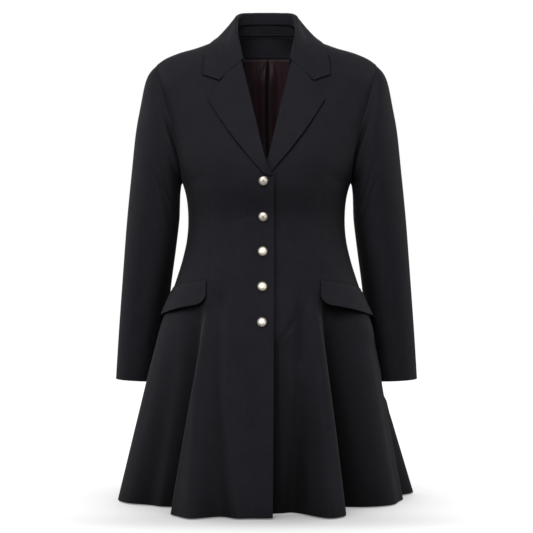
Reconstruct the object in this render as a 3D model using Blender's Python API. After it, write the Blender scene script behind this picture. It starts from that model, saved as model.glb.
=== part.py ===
"""Flared single-breasted overcoat, filled out as worn, with nobody in it.

Metres, +Z up. The front faces -Y and the wearer's right side is at -X. The
origin lies midway between the two neck ends of the shoulder seams, where the
wearer's shoulders carry the coat. Every cloth piece is a closed wall.
"""
import math

import bmesh
import bpy
import numpy as np

# Cloth
WALL = 0.0020
DOUBLE_WALL = 0.0024
LINING_WALL = 0.0010
SEAM_GAP = 0.0005
OVERLAP_LIFT = 0.0027

# Levels
HEM_Z = -0.840
UNDERARM_Z = -0.266
NECK_X = 0.068
NECK_Z = 0.012
NAPE_Z = 0.022
SHOULDER_ROUND = 0.060
SECTION_POWER = 2.2

# Front edges, measured from the middle
OVER_EDGE_X = 0.0140
UNDER_EDGE_X = -0.0250
BREAK_X = 0.0010
BREAK_Z = -0.237
GORGE_X = -0.0445
GORGE_Z = -0.044

# Body sections: height, half width, depth in front, depth behind
BODY_SECTIONS = (
    (0.040, 0.214, 0.058, 0.066),
    (-0.050, 0.212, 0.082, 0.088),
    (-0.150, 0.196, 0.113, 0.105),
    (-0.225, 0.172, 0.132, 0.104),
    (-0.266, 0.153, 0.129, 0.100),
    (-0.327, 0.1445, 0.107, 0.086),
    (-0.364, 0.147, 0.108, 0.090),
    (-0.401, 0.155, 0.114, 0.101),
    (-0.438, 0.1665, 0.122, 0.115),
    (-0.498, 0.188, 0.138, 0.134),
    (-0.581, 0.2085, 0.160, 0.158),
    (-0.697, 0.234, 0.190, 0.188),
    (-0.840, 0.272, 0.226, 0.226),
)

# Shoulder seam: distance from the middle, height
SHOULDER_SEAM = (
    (0.068, 0.012),
    (0.098, 0.001),
    (0.127, -0.0105),
    (0.167, -0.0232),
    (0.190, -0.0345),
    (0.2026, -0.0440),
)

# Skirt folds: azimuth at the top, azimuth at the hem, start height,
# reach at the hem, half width towards the front, half width towards the back
RIGHT_FOLDS = (
    (-33.0, -27.0, -0.450, 0.027, 24.0, 17.0),
    (-50.5, -53.0, -0.455, -0.056, 12.5, 32.0),
    (-88.0, -92.0, -0.600, -0.006, 16.0, 16.0),
    (-116.0, -114.0, -0.500, -0.030, 20.0, 20.0),
    (-137.0, -136.0, -0.480, 0.022, 20.0, 20.0),
    (-158.0, -158.0, -0.490, -0.026, 20.0, 20.0),
)
LEFT_FOLDS = (
    (10.0, 9.0, -0.520, -0.046, 30.0, 19.0),
    (36.0, 28.5, -0.450, 0.014, 14.0, 12.0),
    (49.5, 46.0, -0.455, -0.055, 11.5, 27.0),
    (78.0, 76.0, -0.520, -0.024, 26.0, 24.0),
    (97.0, 97.0, -0.640, -0.018, 9.0, 9.0),
    (108.0, 109.0, -0.600, 0.030, 15.0, 18.0),
    (126.0, 128.0, -0.500, -0.030, 20.0, 20.0),
    (146.0, 147.0, -0.480, 0.022, 18.0, 18.0),
    (163.0, 163.0, -0.500, -0.018, 15.0, 15.0),
)

FOLD_GROWTH = 0.7

# Hollow that each hanging sleeve presses into the skirt
PRESS_AZIMUTH = 104.0
PRESS_WIDTH = 25.0
PRESS_TOP_Z = -0.430
PRESS_DEEP_Z = -0.620
PRESS_END_Z = -0.780
PRESS_DEPTH = 0.031

# Sleeve stations: outer x and z, inner x and z, middle y, half depth
SLEEVE_STATIONS = (
    (0.2030, -0.0440, 0.1530, -0.2660, 0.000, 0.058),
    (0.2140, -0.0580, 0.1562, -0.2700, 0.001, 0.062),
    (0.2222, -0.0800, 0.1585, -0.2780, 0.002, 0.064),
    (0.2300, -0.1150, 0.1600, -0.2880, 0.004, 0.064),
    (0.2392, -0.1650, 0.1618, -0.3040, 0.008, 0.062),
    (0.2465, -0.2350, 0.1645, -0.3300, 0.014, 0.059),
    (0.2560, -0.3270, 0.1712, -0.3830, 0.024, 0.055),
    (0.2640, -0.4300, 0.1785, -0.4520, 0.034, 0.051),
    (0.2716, -0.5300, 0.1875, -0.5400, 0.042, 0.047),
    (0.2775, -0.6245, 0.1965, -0.6285, 0.048, 0.043),
)
SLEEVE_BLEND = 0.22
SLEEVE_SEAM_ROW = 2

# Collar stations from the gorge to the centre back: roll x, y, z and
# outer edge x, y, z, and how far the leaf bows out between them
COLLAR_STATIONS = (
    (-0.0445, -0.0815, -0.0440, -0.1135, -0.0720, -0.0700, 0.002),
    (-0.0515, -0.0480, 0.0080, -0.1105, -0.0480, -0.0400, 0.003),
    (-0.0560, -0.0060, 0.0405, -0.1000, -0.0060, 0.0045, 0.002),
    (-0.0465, 0.0370, 0.0560, -0.0820, 0.0460, 0.0000, 0.004),
    (-0.0260, 0.0550, 0.0625, -0.0460, 0.0760, 0.0000, 0.004),
    (0.0000, 0.0600, 0.0650, 0.0000, 0.0850, 0.0000, 0.004),
)
NOTCH_X = -0.0830
NOTCH_Z = -0.0850
NOTCH_SHARE = 0.60
COLLAR_CLEAR = 0.0046

# Lapel of the wearer's right front, seen flat: tip, ends and bow of its edge
LAPEL_TIP_X = -0.1045
LAPEL_TIP_Z = -0.1140
LAPEL_END_X = -0.0045
LAPEL_END_Z = -0.2500
LAPEL_BOW = 0.0050
LAPEL_CLEAR = 0.0008
UNDER_LAPEL_START = 0.055

# Pocket flaps: azimuth, height of the top edge, height of the lower edge
FLAP_SECTIONS = (
    (45.5, -0.4370, -0.4805),
    (60.0, -0.4405, -0.4868),
    (78.0, -0.4450, -0.4965),
    (93.0, -0.4490, -0.5045),
)
FLAP_CORNER = 0.016
FLAP_CLEAR_TOP = 0.0009
FLAP_CLEAR_LOW = 0.0024

# Back neck facing and lining
FACING_LOW_Z = -0.018
FACING_HALF = 0.062
LINING_LOW_Z = -0.300
LINING_HALF = 0.066
PLEAT_HALF = 0.011
PLEAT_RISE = 0.009

# Buttons
BUTTON_X = -0.0055
BUTTON_TOP_Z = -0.2625
BUTTON_STEP = 0.0622
BUTTON_COUNT = 5
BUTTON_SIDES = 16
# Turned profile: radius, height above the cloth
BUTTON_PROFILE = (
    (0.0026, 0.0000),
    (0.0026, 0.0012),
    (0.0078, 0.0014),
    (0.0083, 0.0021),
    (0.0078, 0.0030),
    (0.0060, 0.0046),
    (0.0033, 0.0055),
)
BUTTON_CROWN = 0.0058
# Foot of each shank above the smooth cloth, from the top button down
BUTTON_CLEARS = (0.0004, 0.0011, 0.0006, 0.0006, 0.0006)

# Mesh steps
# Columns from the middle edge to the side, closer together at the deep front folds
FRONT_COLUMNS = (
    0.0, 0.09, 0.18, 0.265, 0.34, 0.405, 0.462, 0.51,
    0.553, 0.60, 0.655, 0.735, 0.82, 0.91, 1.0,
)
BACK_COLUMNS = tuple(k / 14 for k in range(15))
SLEEVE_ROWS = 11
# Row heights from the hem to the underarm, closer together at the waist
SKIRT_ROWS = (
    -0.840, -0.785, -0.730, -0.675, -0.620, -0.570, -0.525,
    -0.485, -0.450, -0.415, -0.383, -0.353, -0.327, -0.300, -0.266,
)
# Rows above the underarm, as shares of the armhole's height
CHEST_ROWS = (0.0, 0.12, 0.25, 0.38, 0.52, 0.66, 0.79, 0.895, 0.97, 1.0)

# Finishes: colour, roughness, metallic
CLOTH_FINISH = ((0.0175, 0.0172, 0.0195), 0.88, 0.0)
LINING_FINISH = ((0.050, 0.014, 0.022), 0.38, 0.0)
METAL_FINISH = ((0.62, 0.57, 0.49), 0.28, 1.0)

for old in list(bpy.data.objects):
    bpy.data.objects.remove(old, do_unlink=True)


def smooth_curve(stations, values):
    """Return a smooth function through the given stations."""
    order = np.argsort(stations)
    x = np.asarray(stations, float)[order]
    y = np.asarray(values, float)[order]
    slope = np.gradient(y, x)

    def read(at):
        at = np.clip(at, x[0], x[-1])
        i = np.clip(np.searchsorted(x, at) - 1, 0, len(x) - 2)
        step = x[i + 1] - x[i]
        t = (at - x[i]) / step
        low = (1 + 2 * t) * (1 - t) ** 2 * y[i] + t * (1 - t) ** 2 * step * slope[i]
        high = t * t * (3 - 2 * t) * y[i + 1] - t * t * (1 - t) * step * slope[i + 1]
        return low + high

    return read


def column(table, index):
    """Return one column of a table."""
    return [row[index] for row in table]


def smooth_step(t):
    """Return a soft step from 0 to 1."""
    t = np.clip(t, 0.0, 1.0)
    return t * t * (3.0 - 2.0 * t)


half_width = smooth_curve(column(BODY_SECTIONS, 0), column(BODY_SECTIONS, 1))
front_depth = smooth_curve(column(BODY_SECTIONS, 0), column(BODY_SECTIONS, 2))
back_depth = smooth_curve(column(BODY_SECTIONS, 0), column(BODY_SECTIONS, 3))
seam_height = smooth_curve(column(SHOULDER_SEAM, 0), column(SHOULDER_SEAM, 1))


def top_height(x):
    """Return the height of the neckline and shoulder seam at a distance x."""
    x = np.abs(x)
    neck = NECK_Z + (NAPE_Z - NECK_Z) * np.sqrt(np.clip(1 - (x / NECK_X) ** 2, 0, 1))
    return np.where(x < NECK_X, neck, seam_height(x))


def shoulder_rounding(x, z):
    """Return 1 on the chest, falling in a quarter round to 0 on the shoulder seam."""
    rise = SHOULDER_ROUND * np.clip(1 - np.abs(x) / NECK_X, 0, 1)
    drop = np.clip((top_height(x) + rise - z) / SHOULDER_ROUND, 0, 1)
    return np.sqrt(np.clip(1 - (1 - drop) ** 2, 0, 1))


def torso_point(x, z, back):
    """Return the outer surface of the chest or back at a distance and height."""
    depth = back_depth(z) if back else -front_depth(z)
    share = np.clip(1 - np.abs(x / half_width(z)) ** SECTION_POWER, 0, 1)
    y = depth * share ** (1 / SECTION_POWER) * shoulder_rounding(x, z)
    return np.stack([x + 0 * z, y, z + 0 * x], -1)


def fold_sum(theta, z, folds):
    """Return the outward reach of the skirt folds."""
    total = 0 * theta + 0 * z
    for top, hem, start, reach, fore, aft in folds:
        grown = np.clip((start - z) / (start - HEM_Z), 0, 1)
        centre = hem + (top - hem) * (1 - grown)
        away = (theta - centre) * np.sign(hem)
        share = np.abs(away) / np.where(away < 0, fore, aft)
        bump = np.where(share < 1, 0.5 + 0.5 * np.cos(np.pi * np.clip(share, 0, 1)), 0)
        total = total + reach * grown ** FOLD_GROWTH * bump
    away = np.clip(np.abs(np.abs(theta) - PRESS_AZIMUTH) / PRESS_WIDTH, 0, 1)
    grown = smooth_step((PRESS_TOP_Z - z) / (PRESS_TOP_Z - PRESS_DEEP_Z))
    fading = smooth_step((z - PRESS_END_Z) / (PRESS_DEEP_Z - PRESS_END_Z))
    press = PRESS_DEPTH * np.minimum(grown, fading) * (0.5 + 0.5 * np.cos(np.pi * away))
    return total - press


def ring_point(theta, z, folds):
    """Return the outer surface below the underarm at an azimuth and height."""
    turn = np.radians(theta)
    depth = np.where(np.abs(theta) <= 90, front_depth(z), back_depth(z))
    side = np.abs(np.sin(turn) / half_width(z)) ** SECTION_POWER
    face = np.abs(np.cos(turn) / depth) ** SECTION_POWER
    radius = (side + face) ** (-1 / SECTION_POWER) + fold_sum(theta, z, folds)
    return np.stack([radius * np.sin(turn), -radius * np.cos(turn), z + 0 * turn], -1)


def edge_azimuth(edge, z):
    """Return the azimuth of a front edge that lies a fixed distance from the middle."""
    return np.degrees(np.arcsin(np.clip(edge / (front_depth(z) + 0.004), -1, 1)))


def armhole_line(w):
    """Return distance and height of the armhole seam, from underarm to shoulder."""
    scoop = 0.0275 * w ** 0.6 * (1 - w) ** 1.8
    low_x, top_x = half_width(UNDERARM_Z), SHOULDER_SEAM[-1][0]
    low_z, top_z = UNDERARM_Z, SHOULDER_SEAM[-1][1]
    return low_x + (top_x - low_x) * w - scoop, low_z + (top_z - low_z) * w


class Panel:
    """One body panel: u runs from its middle edge to the side, v from hem to shoulder."""

    def __init__(self, side, back):
        self.side = side
        self.back = back
        self.folds = RIGHT_FOLDS if side < 0 else LEFT_FOLDS
        self.edge = OVER_EDGE_X if side < 0 else UNDER_EDGE_X

    def inner_azimuth(self, z):
        """Return the azimuth of the middle edge at a height."""
        if self.back:
            return self.side * (180.0 + 0 * z) - self.side * np.degrees(SEAM_GAP / 2 / back_depth(z))
        return edge_azimuth(self.edge, z)

    def outer_azimuth(self, z):
        """Return the azimuth of the side seam at a height."""
        gap = np.degrees(SEAM_GAP / 2 / half_width(z))
        return self.side * (90.0 + (gap if self.back else -gap))

    def inner_line(self, w):
        """Return distance and height of the middle edge above the underarm."""
        if self.back:
            return self.side * (SEAM_GAP / 2 + 0 * w), UNDERARM_Z + (NAPE_Z - UNDERARM_Z) * w
        start = math.sin(math.radians(float(edge_azimuth(self.edge, UNDERARM_Z))))
        start = start * front_depth(UNDERARM_Z)
        knots = (0.0, 0.08, 0.72, 1.0)
        across = (start, -self.side * BREAK_X, -self.side * GORGE_X, self.side * NECK_X)
        up = (UNDERARM_Z, BREAK_Z, GORGE_Z, NECK_Z)
        return np.interp(w, knots, across), np.interp(w, knots, up)

    def lift(self, point):
        """Move the overlapping front edge clear of the one underneath."""
        if self.back or self.side > 0:
            return point
        amount = OVERLAP_LIFT * smooth_step((point[..., 0] + 0.080) / 0.050)
        below = np.clip((-0.20 - point[..., 2]) / 0.03, 0, 1)
        moved = point.copy()
        moved[..., 1] -= amount * below
        return moved

    def skirt(self, u, v):
        """Return the surface from the hem (v 0) to the underarm (v 1)."""
        z = HEM_Z + (UNDERARM_Z - HEM_Z) * v
        inner, outer = self.inner_azimuth(z), self.outer_azimuth(z)
        return ring_point(inner + (outer - inner) * u, z, self.folds)

    def chest(self, u, v):
        """Return the surface from the underarm (v 1) to the shoulder (v 2)."""
        rise = np.clip(v - 1, 0, 1 - 0.0009)
        w = 1 - (1 - rise) ** 2
        start_x, start_z = self.inner_line(w)
        end_x, end_z = armhole_line(w)
        end_x = self.side * end_x
        level = np.full_like(u, UNDERARM_Z)
        inner, outer = self.inner_azimuth(level), self.outer_azimuth(level)
        base = ring_point(inner + (outer - inner) * u, level, self.folds)[..., 0]
        ends = ring_point(np.stack([inner, outer]), np.stack([level, level]), self.folds)[..., 0]
        round_share = (base - ends[0]) / (ends[1] - ends[0])
        share = round_share + (u - round_share) * smooth_step(w / 0.35)
        x = start_x + (end_x - start_x) * share
        z = start_z + (end_z - start_z) * share
        top_x0, top_z0 = self.inner_line(np.ones_like(u))
        top_x1, top_z1 = armhole_line(np.ones_like(u))
        top_x = top_x0 + (self.side * top_x1 - top_x0) * u
        chord = top_z0 + (top_z1 - top_z0) * u
        z = z + w ** 3 * (top_height(top_x) - chord)
        return torso_point(x, z, self.back)

    def __call__(self, u, v):
        """Return outer surface points."""
        u, v = np.broadcast_arrays(np.asarray(u, float), np.asarray(v, float))
        low = self.skirt(u, np.minimum(v, 1))
        high = self.chest(u, np.maximum(v, 1))
        return self.lift(np.where((v <= 1)[..., None], low, high))


def normals(surface, u, v, outward, step=0.002):
    """Return unit normals of a surface, turned to the side given by outward."""
    u0, u1 = np.clip(u - step, 0, 1), np.clip(u + step, 0, 1)
    v0, v1 = v - step, v + step
    across = surface(u1, v) - surface(u0, v)
    up = surface(u, v1) - surface(u, v0)
    n = np.cross(across, up) * outward
    return n / np.linalg.norm(n, axis=-1, keepdims=True)


def add_object(name, verts, faces, finish):
    """Add a mesh object with its own finish, faces turned outward."""
    work = bmesh.new()
    made = [work.verts.new(v) for v in verts]
    for face in faces:
        work.faces.new([made[i] for i in face])
    bmesh.ops.recalc_face_normals(work, faces=work.faces)
    if work.calc_volume(signed=True) < 0:
        bmesh.ops.reverse_faces(work, faces=work.faces)
    mesh = bpy.data.meshes.new(name)
    work.to_mesh(mesh)
    work.free()
    colour, rough, metal = finish
    material = bpy.data.materials.new(name + "_finish")
    material.use_nodes = True
    shader = material.node_tree.nodes["Principled BSDF"]
    shader.inputs["Base Color"].default_value = (*colour, 1.0)
    shader.inputs["Roughness"].default_value = rough
    shader.inputs["Metallic"].default_value = metal
    material.diffuse_color = (*colour, 1.0)
    mesh.materials.append(material)
    obj = bpy.data.objects.new(name, mesh)
    bpy.context.scene.collection.objects.link(obj)
    return obj


def add_wall(name, outer, inner, finish=CLOTH_FINISH):
    """Close two matching point grids into one wall with rims all round."""
    rows, cols = outer.shape[:2]
    count = rows * cols
    verts = np.concatenate([outer.reshape(-1, 3), inner.reshape(-1, 3)]).tolist()
    faces = []
    for i in range(rows - 1):
        for j in range(cols - 1):
            a = i * cols + j
            quad = (a, a + 1, a + cols + 1, a + cols)
            faces.append(quad)
            faces.append(tuple(k + count for k in reversed(quad)))
    rim = [j for j in range(cols)]
    rim += [i * cols + cols - 1 for i in range(1, rows)]
    rim += [(rows - 1) * cols + j for j in range(cols - 2, -1, -1)]
    rim += [i * cols for i in range(rows - 2, 0, -1)]
    for a, b in zip(rim, rim[1:] + rim[:1]):
        faces.append((b, a, a + count, b + count))
    return add_object(name, verts, faces, finish)


PANELS = {
    "front_right": Panel(-1, False),
    "front_left": Panel(1, False),
    "back_right": Panel(-1, True),
    "back_left": Panel(1, True),
}
PANEL_V = np.concatenate([
    (np.array(SKIRT_ROWS) - HEM_Z) / (UNDERARM_Z - HEM_Z),
    2 - np.sqrt(1 - np.array(CHEST_ROWS[1:])),
])


def outward_sign(panel):
    """Return the sign that turns a panel's normals outward."""
    sign = 1.0 if panel.side > 0 else -1.0
    return -sign if panel.back else sign


def build_panels():
    """Build the four body panels."""
    for name, panel in PANELS.items():
        u, v = np.meshgrid(BACK_COLUMNS if panel.back else FRONT_COLUMNS, PANEL_V)
        outer = panel(u, v)
        add_wall(name, outer, outer - WALL * normals(panel, u, v, outward_sign(panel)))


def sleeve_angles():
    """Return ring angles from the shoulder forward, under the arm and up behind."""
    front = np.arccos(2 * np.array(CHEST_ROWS[::-1]) - 1)
    return np.concatenate([front, 2 * np.pi - front[::-1][1:]])


class Sleeve:
    """Set-in sleeve: length t from armhole 0 to cuff 1, ring angle from the shoulder."""

    def __init__(self, side):
        self.side = side
        t = np.linspace(0, 1, len(SLEEVE_STATIONS))
        self.read = [smooth_curve(t, column(SLEEVE_STATIONS, k)) for k in range(6)]

    def ellipse(self, t, angle):
        """Return the plain ring of the sleeve."""
        ox, oz, ix, iz, my, depth = [f(t) for f in self.read]
        swing = np.cos(angle)
        x = (ox + ix) / 2 + (ox - ix) / 2 * swing
        z = (oz + iz) / 2 + (oz - iz) / 2 * swing
        y = my - depth * np.sin(angle)
        return np.stack([self.side * x, y, z], -1)

    def armhole(self, angle):
        """Return the armhole seam, a seam gap outside the body panels."""
        w = (1 + np.cos(angle)) / 2
        x, z = armhole_line(w)
        edge = np.where(
            (np.sin(angle) > 0)[..., None],
            torso_point(x, z, False),
            torso_point(x, z, True),
        )
        edge[..., 0] = self.side * (edge[..., 0] + SEAM_GAP * (1.8 - 0.8 * w))
        edge[..., 2] += SEAM_GAP * (1 - w) ** 2
        return edge

    def __call__(self, angle_share, t):
        """Return outer surface points."""
        angle = np.asarray(angle_share, float) * 2 * np.pi
        t = np.clip(t, 0, 1)
        fade = np.clip(1 - t / SLEEVE_BLEND, 0, 1) ** 2
        shift = self.armhole(angle) - self.ellipse(0 * angle, angle)
        return self.ellipse(t, angle) + shift * fade[..., None]


def build_sleeves():
    """Build a top and an under half for each sleeve."""
    angles = sleeve_angles() / (2 * np.pi)
    last = len(angles) - 1
    low, high = last // 2 - SLEEVE_SEAM_ROW, last // 2 + SLEEVE_SEAM_ROW
    top = np.concatenate([angles[high:] - 1, angles[1:low + 1]])
    under = angles[low:high + 1]
    t_rows = np.linspace(0, 1, SLEEVE_ROWS + 1) ** 1.15
    for side, label in ((-1, "right"), (1, "left")):
        sleeve = Sleeve(side)
        for half, ring in (("top", top), ("under", under)):
            ring = ring.copy()
            ring[0] += 0.0010
            ring[-1] -= 0.0010
            a, t = np.meshgrid(ring, t_rows)
            outer = sleeve(a, t)
            add_wall(f"sleeve_{label}_{half}", outer, outer - WALL * sleeve_normals(sleeve, a, t))


def sleeve_normals(sleeve, a, t):
    """Return outward normals of a sleeve, shared with the body at the armhole."""
    step = 0.004
    around = sleeve(a + step, t) - sleeve(a - step, t)
    along = sleeve(a, np.clip(t + step, 0, 1)) - sleeve(a, np.clip(t - step, 0, 1))
    n = np.cross(around, along) * sleeve.side
    n = n / np.linalg.norm(n, axis=-1, keepdims=True)
    share = np.clip(1 - t / 0.05, 0, 1)[..., None]
    seam = armhole_normals(sleeve.side, a)
    mixed = n * (1 - share) + seam * share
    return mixed / np.linalg.norm(mixed, axis=-1, keepdims=True)


def armhole_normals(side, a):
    """Return the body panels' outward normals along the armhole."""
    angle = a * 2 * np.pi
    w = (1 + np.cos(angle)) / 2
    rise = 1 + np.clip(1 - np.sqrt(1 - np.clip(w, 0, 1)), 0, 0.999)
    label = "right" if side < 0 else "left"
    front, back = PANELS["front_" + label], PANELS["back_" + label]
    ones = np.ones_like(rise)
    n_front = normals(front, ones, rise, outward_sign(front))
    n_back = normals(back, ones, rise, outward_sign(back))
    return np.where((np.sin(angle) > 0)[..., None], n_front, n_back)


def front_surface(side, lift=True):
    """Return a function giving a front's outer surface from distance and height."""
    panel = PANELS["front_right"] if side < 0 else PANELS["front_left"]

    def read(x, z):
        point = torso_point(x, z, False)
        return panel.lift(point) if lift else point

    return read


def seat(surface, x, z, clear):
    """Return points a set distance outside a front, from distance and height."""
    step = 0.0008
    across = surface(x + step, z) - surface(x - step, z)
    up = surface(x, z + step) - surface(x, z - step)
    n = np.cross(across, up)
    n = n / np.linalg.norm(n, axis=-1, keepdims=True)
    return surface(x, z) + n * np.asarray(clear)[..., None]


def lapel_plan(p, q, side):
    """Return distance and height on a lapel: p up the roll line, q across to its edge."""
    if side > 0:
        p = UNDER_LAPEL_START + (1 - UNDER_LAPEL_START) * p
    roll_x = BREAK_X + (GORGE_X - BREAK_X) * p
    roll_z = BREAK_Z + (GORGE_Z - BREAK_Z) * p
    bow = LAPEL_BOW * np.sin(np.pi * p)
    edge_x = LAPEL_END_X + (LAPEL_TIP_X - LAPEL_END_X) * p - 0.7 * bow
    edge_z = LAPEL_END_Z + (LAPEL_TIP_Z - LAPEL_END_Z) * p - 0.7 * bow
    x = roll_x + (edge_x - roll_x) * q
    z = roll_z + (edge_z - roll_z) * q
    z = z + 0.005 * p ** 6 * np.sin(np.pi * np.clip(q, 0, 1)) * q
    return -side * x, z


def build_lapels():
    """Build the two lapels on their fronts."""
    p, q = np.meshgrid(np.linspace(0, 0.982, 11), np.linspace(0, 1, 5), indexing="ij")
    for side, label in ((-1, "right"), (1, "left")):
        surface = front_surface(side)
        x, z = lapel_plan(p, q, side)
        roll = 0.0016 * (1 - q) ** 2
        inner = seat(surface, x, z, LAPEL_CLEAR + roll)
        outer = seat(surface, x, z, LAPEL_CLEAR + roll + DOUBLE_WALL)
        add_wall("lapel_" + label, outer, inner)


def collar_clear(points, clear):
    """Push points that lie too near the body straight out of it."""
    for _ in range(4):
        x, y, z = points[..., 0], points[..., 1], points[..., 2]
        behind = y > 0
        surf = np.where(behind[..., None], torso_point(x, z, True), torso_point(x, z, False))
        step = 0.0008
        out = np.where(behind, 1.0, -1.0)

        def depth(px, pz):
            both = np.where(behind, torso_point(px, pz, True)[..., 1], torso_point(px, pz, False)[..., 1])
            return np.abs(both)

        gx = (depth(x + step, z) - depth(x - step, z)) / (2 * step)
        gz = (depth(x, z + step) - depth(x, z - step)) / (2 * step)
        size = np.sqrt(1 + gx ** 2 + gz ** 2)
        away = (np.abs(y) - np.abs(surf[..., 1])) / size
        above = z > top_height(x) + clear
        short = np.where(above, 0, np.clip(clear - away, 0, 0.02))
        shift = np.stack([-gx / size, out / size, -gz / size], -1) * short[..., None]
        points = points + shift
    return points


class CollarLeaf:
    """Collar leaf: s from the right gorge 0 to the left gorge 1, q from roll to edge."""

    def __init__(self):
        half = np.array(COLLAR_STATIONS)
        mirrored = half[::-1][1:].copy()
        mirrored[:, [0, 3]] *= -1
        full = np.concatenate([half, mirrored])
        s = np.linspace(0, 1, len(full))
        self.read = [smooth_curve(s, full[:, k]) for k in range(7)]

    def roll(self, s):
        """Return the roll line."""
        return np.stack([self.read[k](s) for k in range(3)], -1)

    def __call__(self, s, q):
        """Return outer surface points."""
        roll = self.roll(s)
        edge = np.stack([self.read[k](s) for k in range(3, 6)], -1)
        point = roll + (edge - roll) * q[..., None]
        bow = self.read[6](s) * np.sin(np.pi * q)
        point[..., 2] += bow
        end = np.clip(1 - np.minimum(s, 1 - s) / 0.16, 0, 1) ** 2
        side = np.where(s < 0.5, 1.0, -1.0)
        notch_x = np.interp(q, (0, NOTCH_SHARE, 1), (roll[0, 0, 0], NOTCH_X, edge[0, 0, 0]))
        notch_z = np.interp(q, (0, NOTCH_SHARE, 1), (roll[0, 0, 2], NOTCH_Z, edge[0, 0, 2]))
        straight_x = roll[0, 0, 0] + (edge[0, 0, 0] - roll[0, 0, 0]) * q
        straight_z = roll[0, 0, 2] + (edge[0, 0, 2] - roll[0, 0, 2]) * q
        point[..., 0] += side * end * (notch_x - straight_x)
        point[..., 2] += end * (notch_z - straight_z)
        return collar_clear(point, COLLAR_CLEAR + DOUBLE_WALL * (1 - q) ** 4)


def grid_normals(points, outward):
    """Return unit normals of a point grid, turned to the side given by outward."""
    across = np.gradient(points, axis=1)
    up = np.gradient(points, axis=0)
    n = np.cross(across, up) * outward
    return n / np.linalg.norm(n, axis=-1, keepdims=True)


def build_collar():
    """Build the collar leaf and the stand under it."""
    leaf = CollarLeaf()
    s, q = np.meshgrid(np.linspace(0, 1, 25), np.linspace(0, 1, 6), indexing="ij")
    outer = leaf(s, q)
    n = grid_normals(outer, 1.0)
    if n[12, 3, 1] < 0:
        n = -n
    add_wall("collar_fall", outer, outer - DOUBLE_WALL * n)
    s, q = np.meshgrid(np.linspace(0.13, 0.87, 17), np.linspace(0, 1, 4), indexing="ij")
    top = leaf.roll(s)
    neck = neck_seam(s)
    toward = -top * np.array([1.0, 1.0, 0.0])
    toward = toward / np.linalg.norm(toward, axis=-1, keepdims=True)
    head = top + toward * 0.0030 - np.array([0, 0, 0.0040])
    base = neck + np.array([0, 0, 0.0014])
    stand = base + (head - base) * q[..., None]
    n = grid_normals(stand, 1.0)
    if n[8, 1, 1] < 0:
        n = -n
    add_wall("collar_stand", stand, stand - WALL * n)


def neck_seam(s):
    """Return the seam of collar and body, from the right gorge to the left one."""
    turn = (s - 0.5) / 0.5
    share = np.clip(np.abs(turn) / 0.62, 0, 1)
    swing = share * np.pi / 2
    x = NECK_X * np.sin(swing)
    y_back = torso_point(x, top_height(x) - 1e-6, True)[..., 1]
    forward = np.clip((np.abs(turn) - 0.62) / 0.38, 0, 1)
    fx = NECK_X + (-GORGE_X - NECK_X) * forward
    fz = NECK_Z + (GORGE_Z - NECK_Z) * forward
    front = torso_point(fx, fz, False)
    back = np.stack([x, y_back, top_height(x)], -1)
    seam = np.where((forward > 0)[..., None], front, back)
    seam[..., 0] *= np.sign(turn)
    return seam


def build_flaps():
    """Build the pocket flaps over the fronts."""
    low = smooth_curve(column(FLAP_SECTIONS, 0), column(FLAP_SECTIONS, 2))
    high = smooth_curve(column(FLAP_SECTIONS, 0), column(FLAP_SECTIONS, 1))
    start, end = FLAP_SECTIONS[0][0], FLAP_SECTIONS[-1][0]
    along = np.concatenate([[0, 0.012, 0.04, 0.085], np.linspace(0.14, 1, 9)])
    s, q = np.meshgrid(along, np.linspace(0, 1, 4), indexing="ij")
    for side, label in ((-1, "right"), (1, "left")):
        folds = RIGHT_FOLDS if side < 0 else LEFT_FOLDS

        def surface(u, v):
            azimuth = start + (end - start) * u
            length = 0.135 * u
            inside = np.clip(1 - length / FLAP_CORNER, 0, 1)
            cut = FLAP_CORNER * (1 - np.sqrt(np.clip(1 - inside ** 2, 0, 1)))
            bottom = low(azimuth) + cut
            top = high(azimuth)
            z = top + (bottom - top) * np.clip(v, 0, 1)
            lean = -1.2 * np.clip(v, 0, 1) * (1 - u)
            return ring_point(side * (azimuth + lean), z, folds)

        step = 0.004
        across = surface(np.clip(s + step, 0, 1), q) - surface(np.clip(s - step, 0, 1), q)
        up = surface(s, np.clip(q + step, 0, 1)) - surface(s, np.clip(q - step, 0, 1))
        n = np.cross(across, up)
        n = n / np.linalg.norm(n, axis=-1, keepdims=True)
        n = n * np.sign(np.sum(n * surface(s, q) * [1, 1, 0], -1, keepdims=True))
        clear = FLAP_CLEAR_TOP + (FLAP_CLEAR_LOW - FLAP_CLEAR_TOP) * q
        inner = surface(s, q) + n * clear[..., None]
        add_wall("flap_" + label, inner + n * DOUBLE_WALL, inner)


def back_inside(x, z, deep):
    """Return points a set distance inside the back."""
    step = 0.0008
    across = torso_point(x + step, z, True) - torso_point(x - step, z, True)
    up = torso_point(x, z + step, True) - torso_point(x, z - step, True)
    n = np.cross(up, across)
    n = n / np.linalg.norm(n, axis=-1, keepdims=True)
    return torso_point(x, z, True) - n * np.asarray(deep)[..., None]


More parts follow.
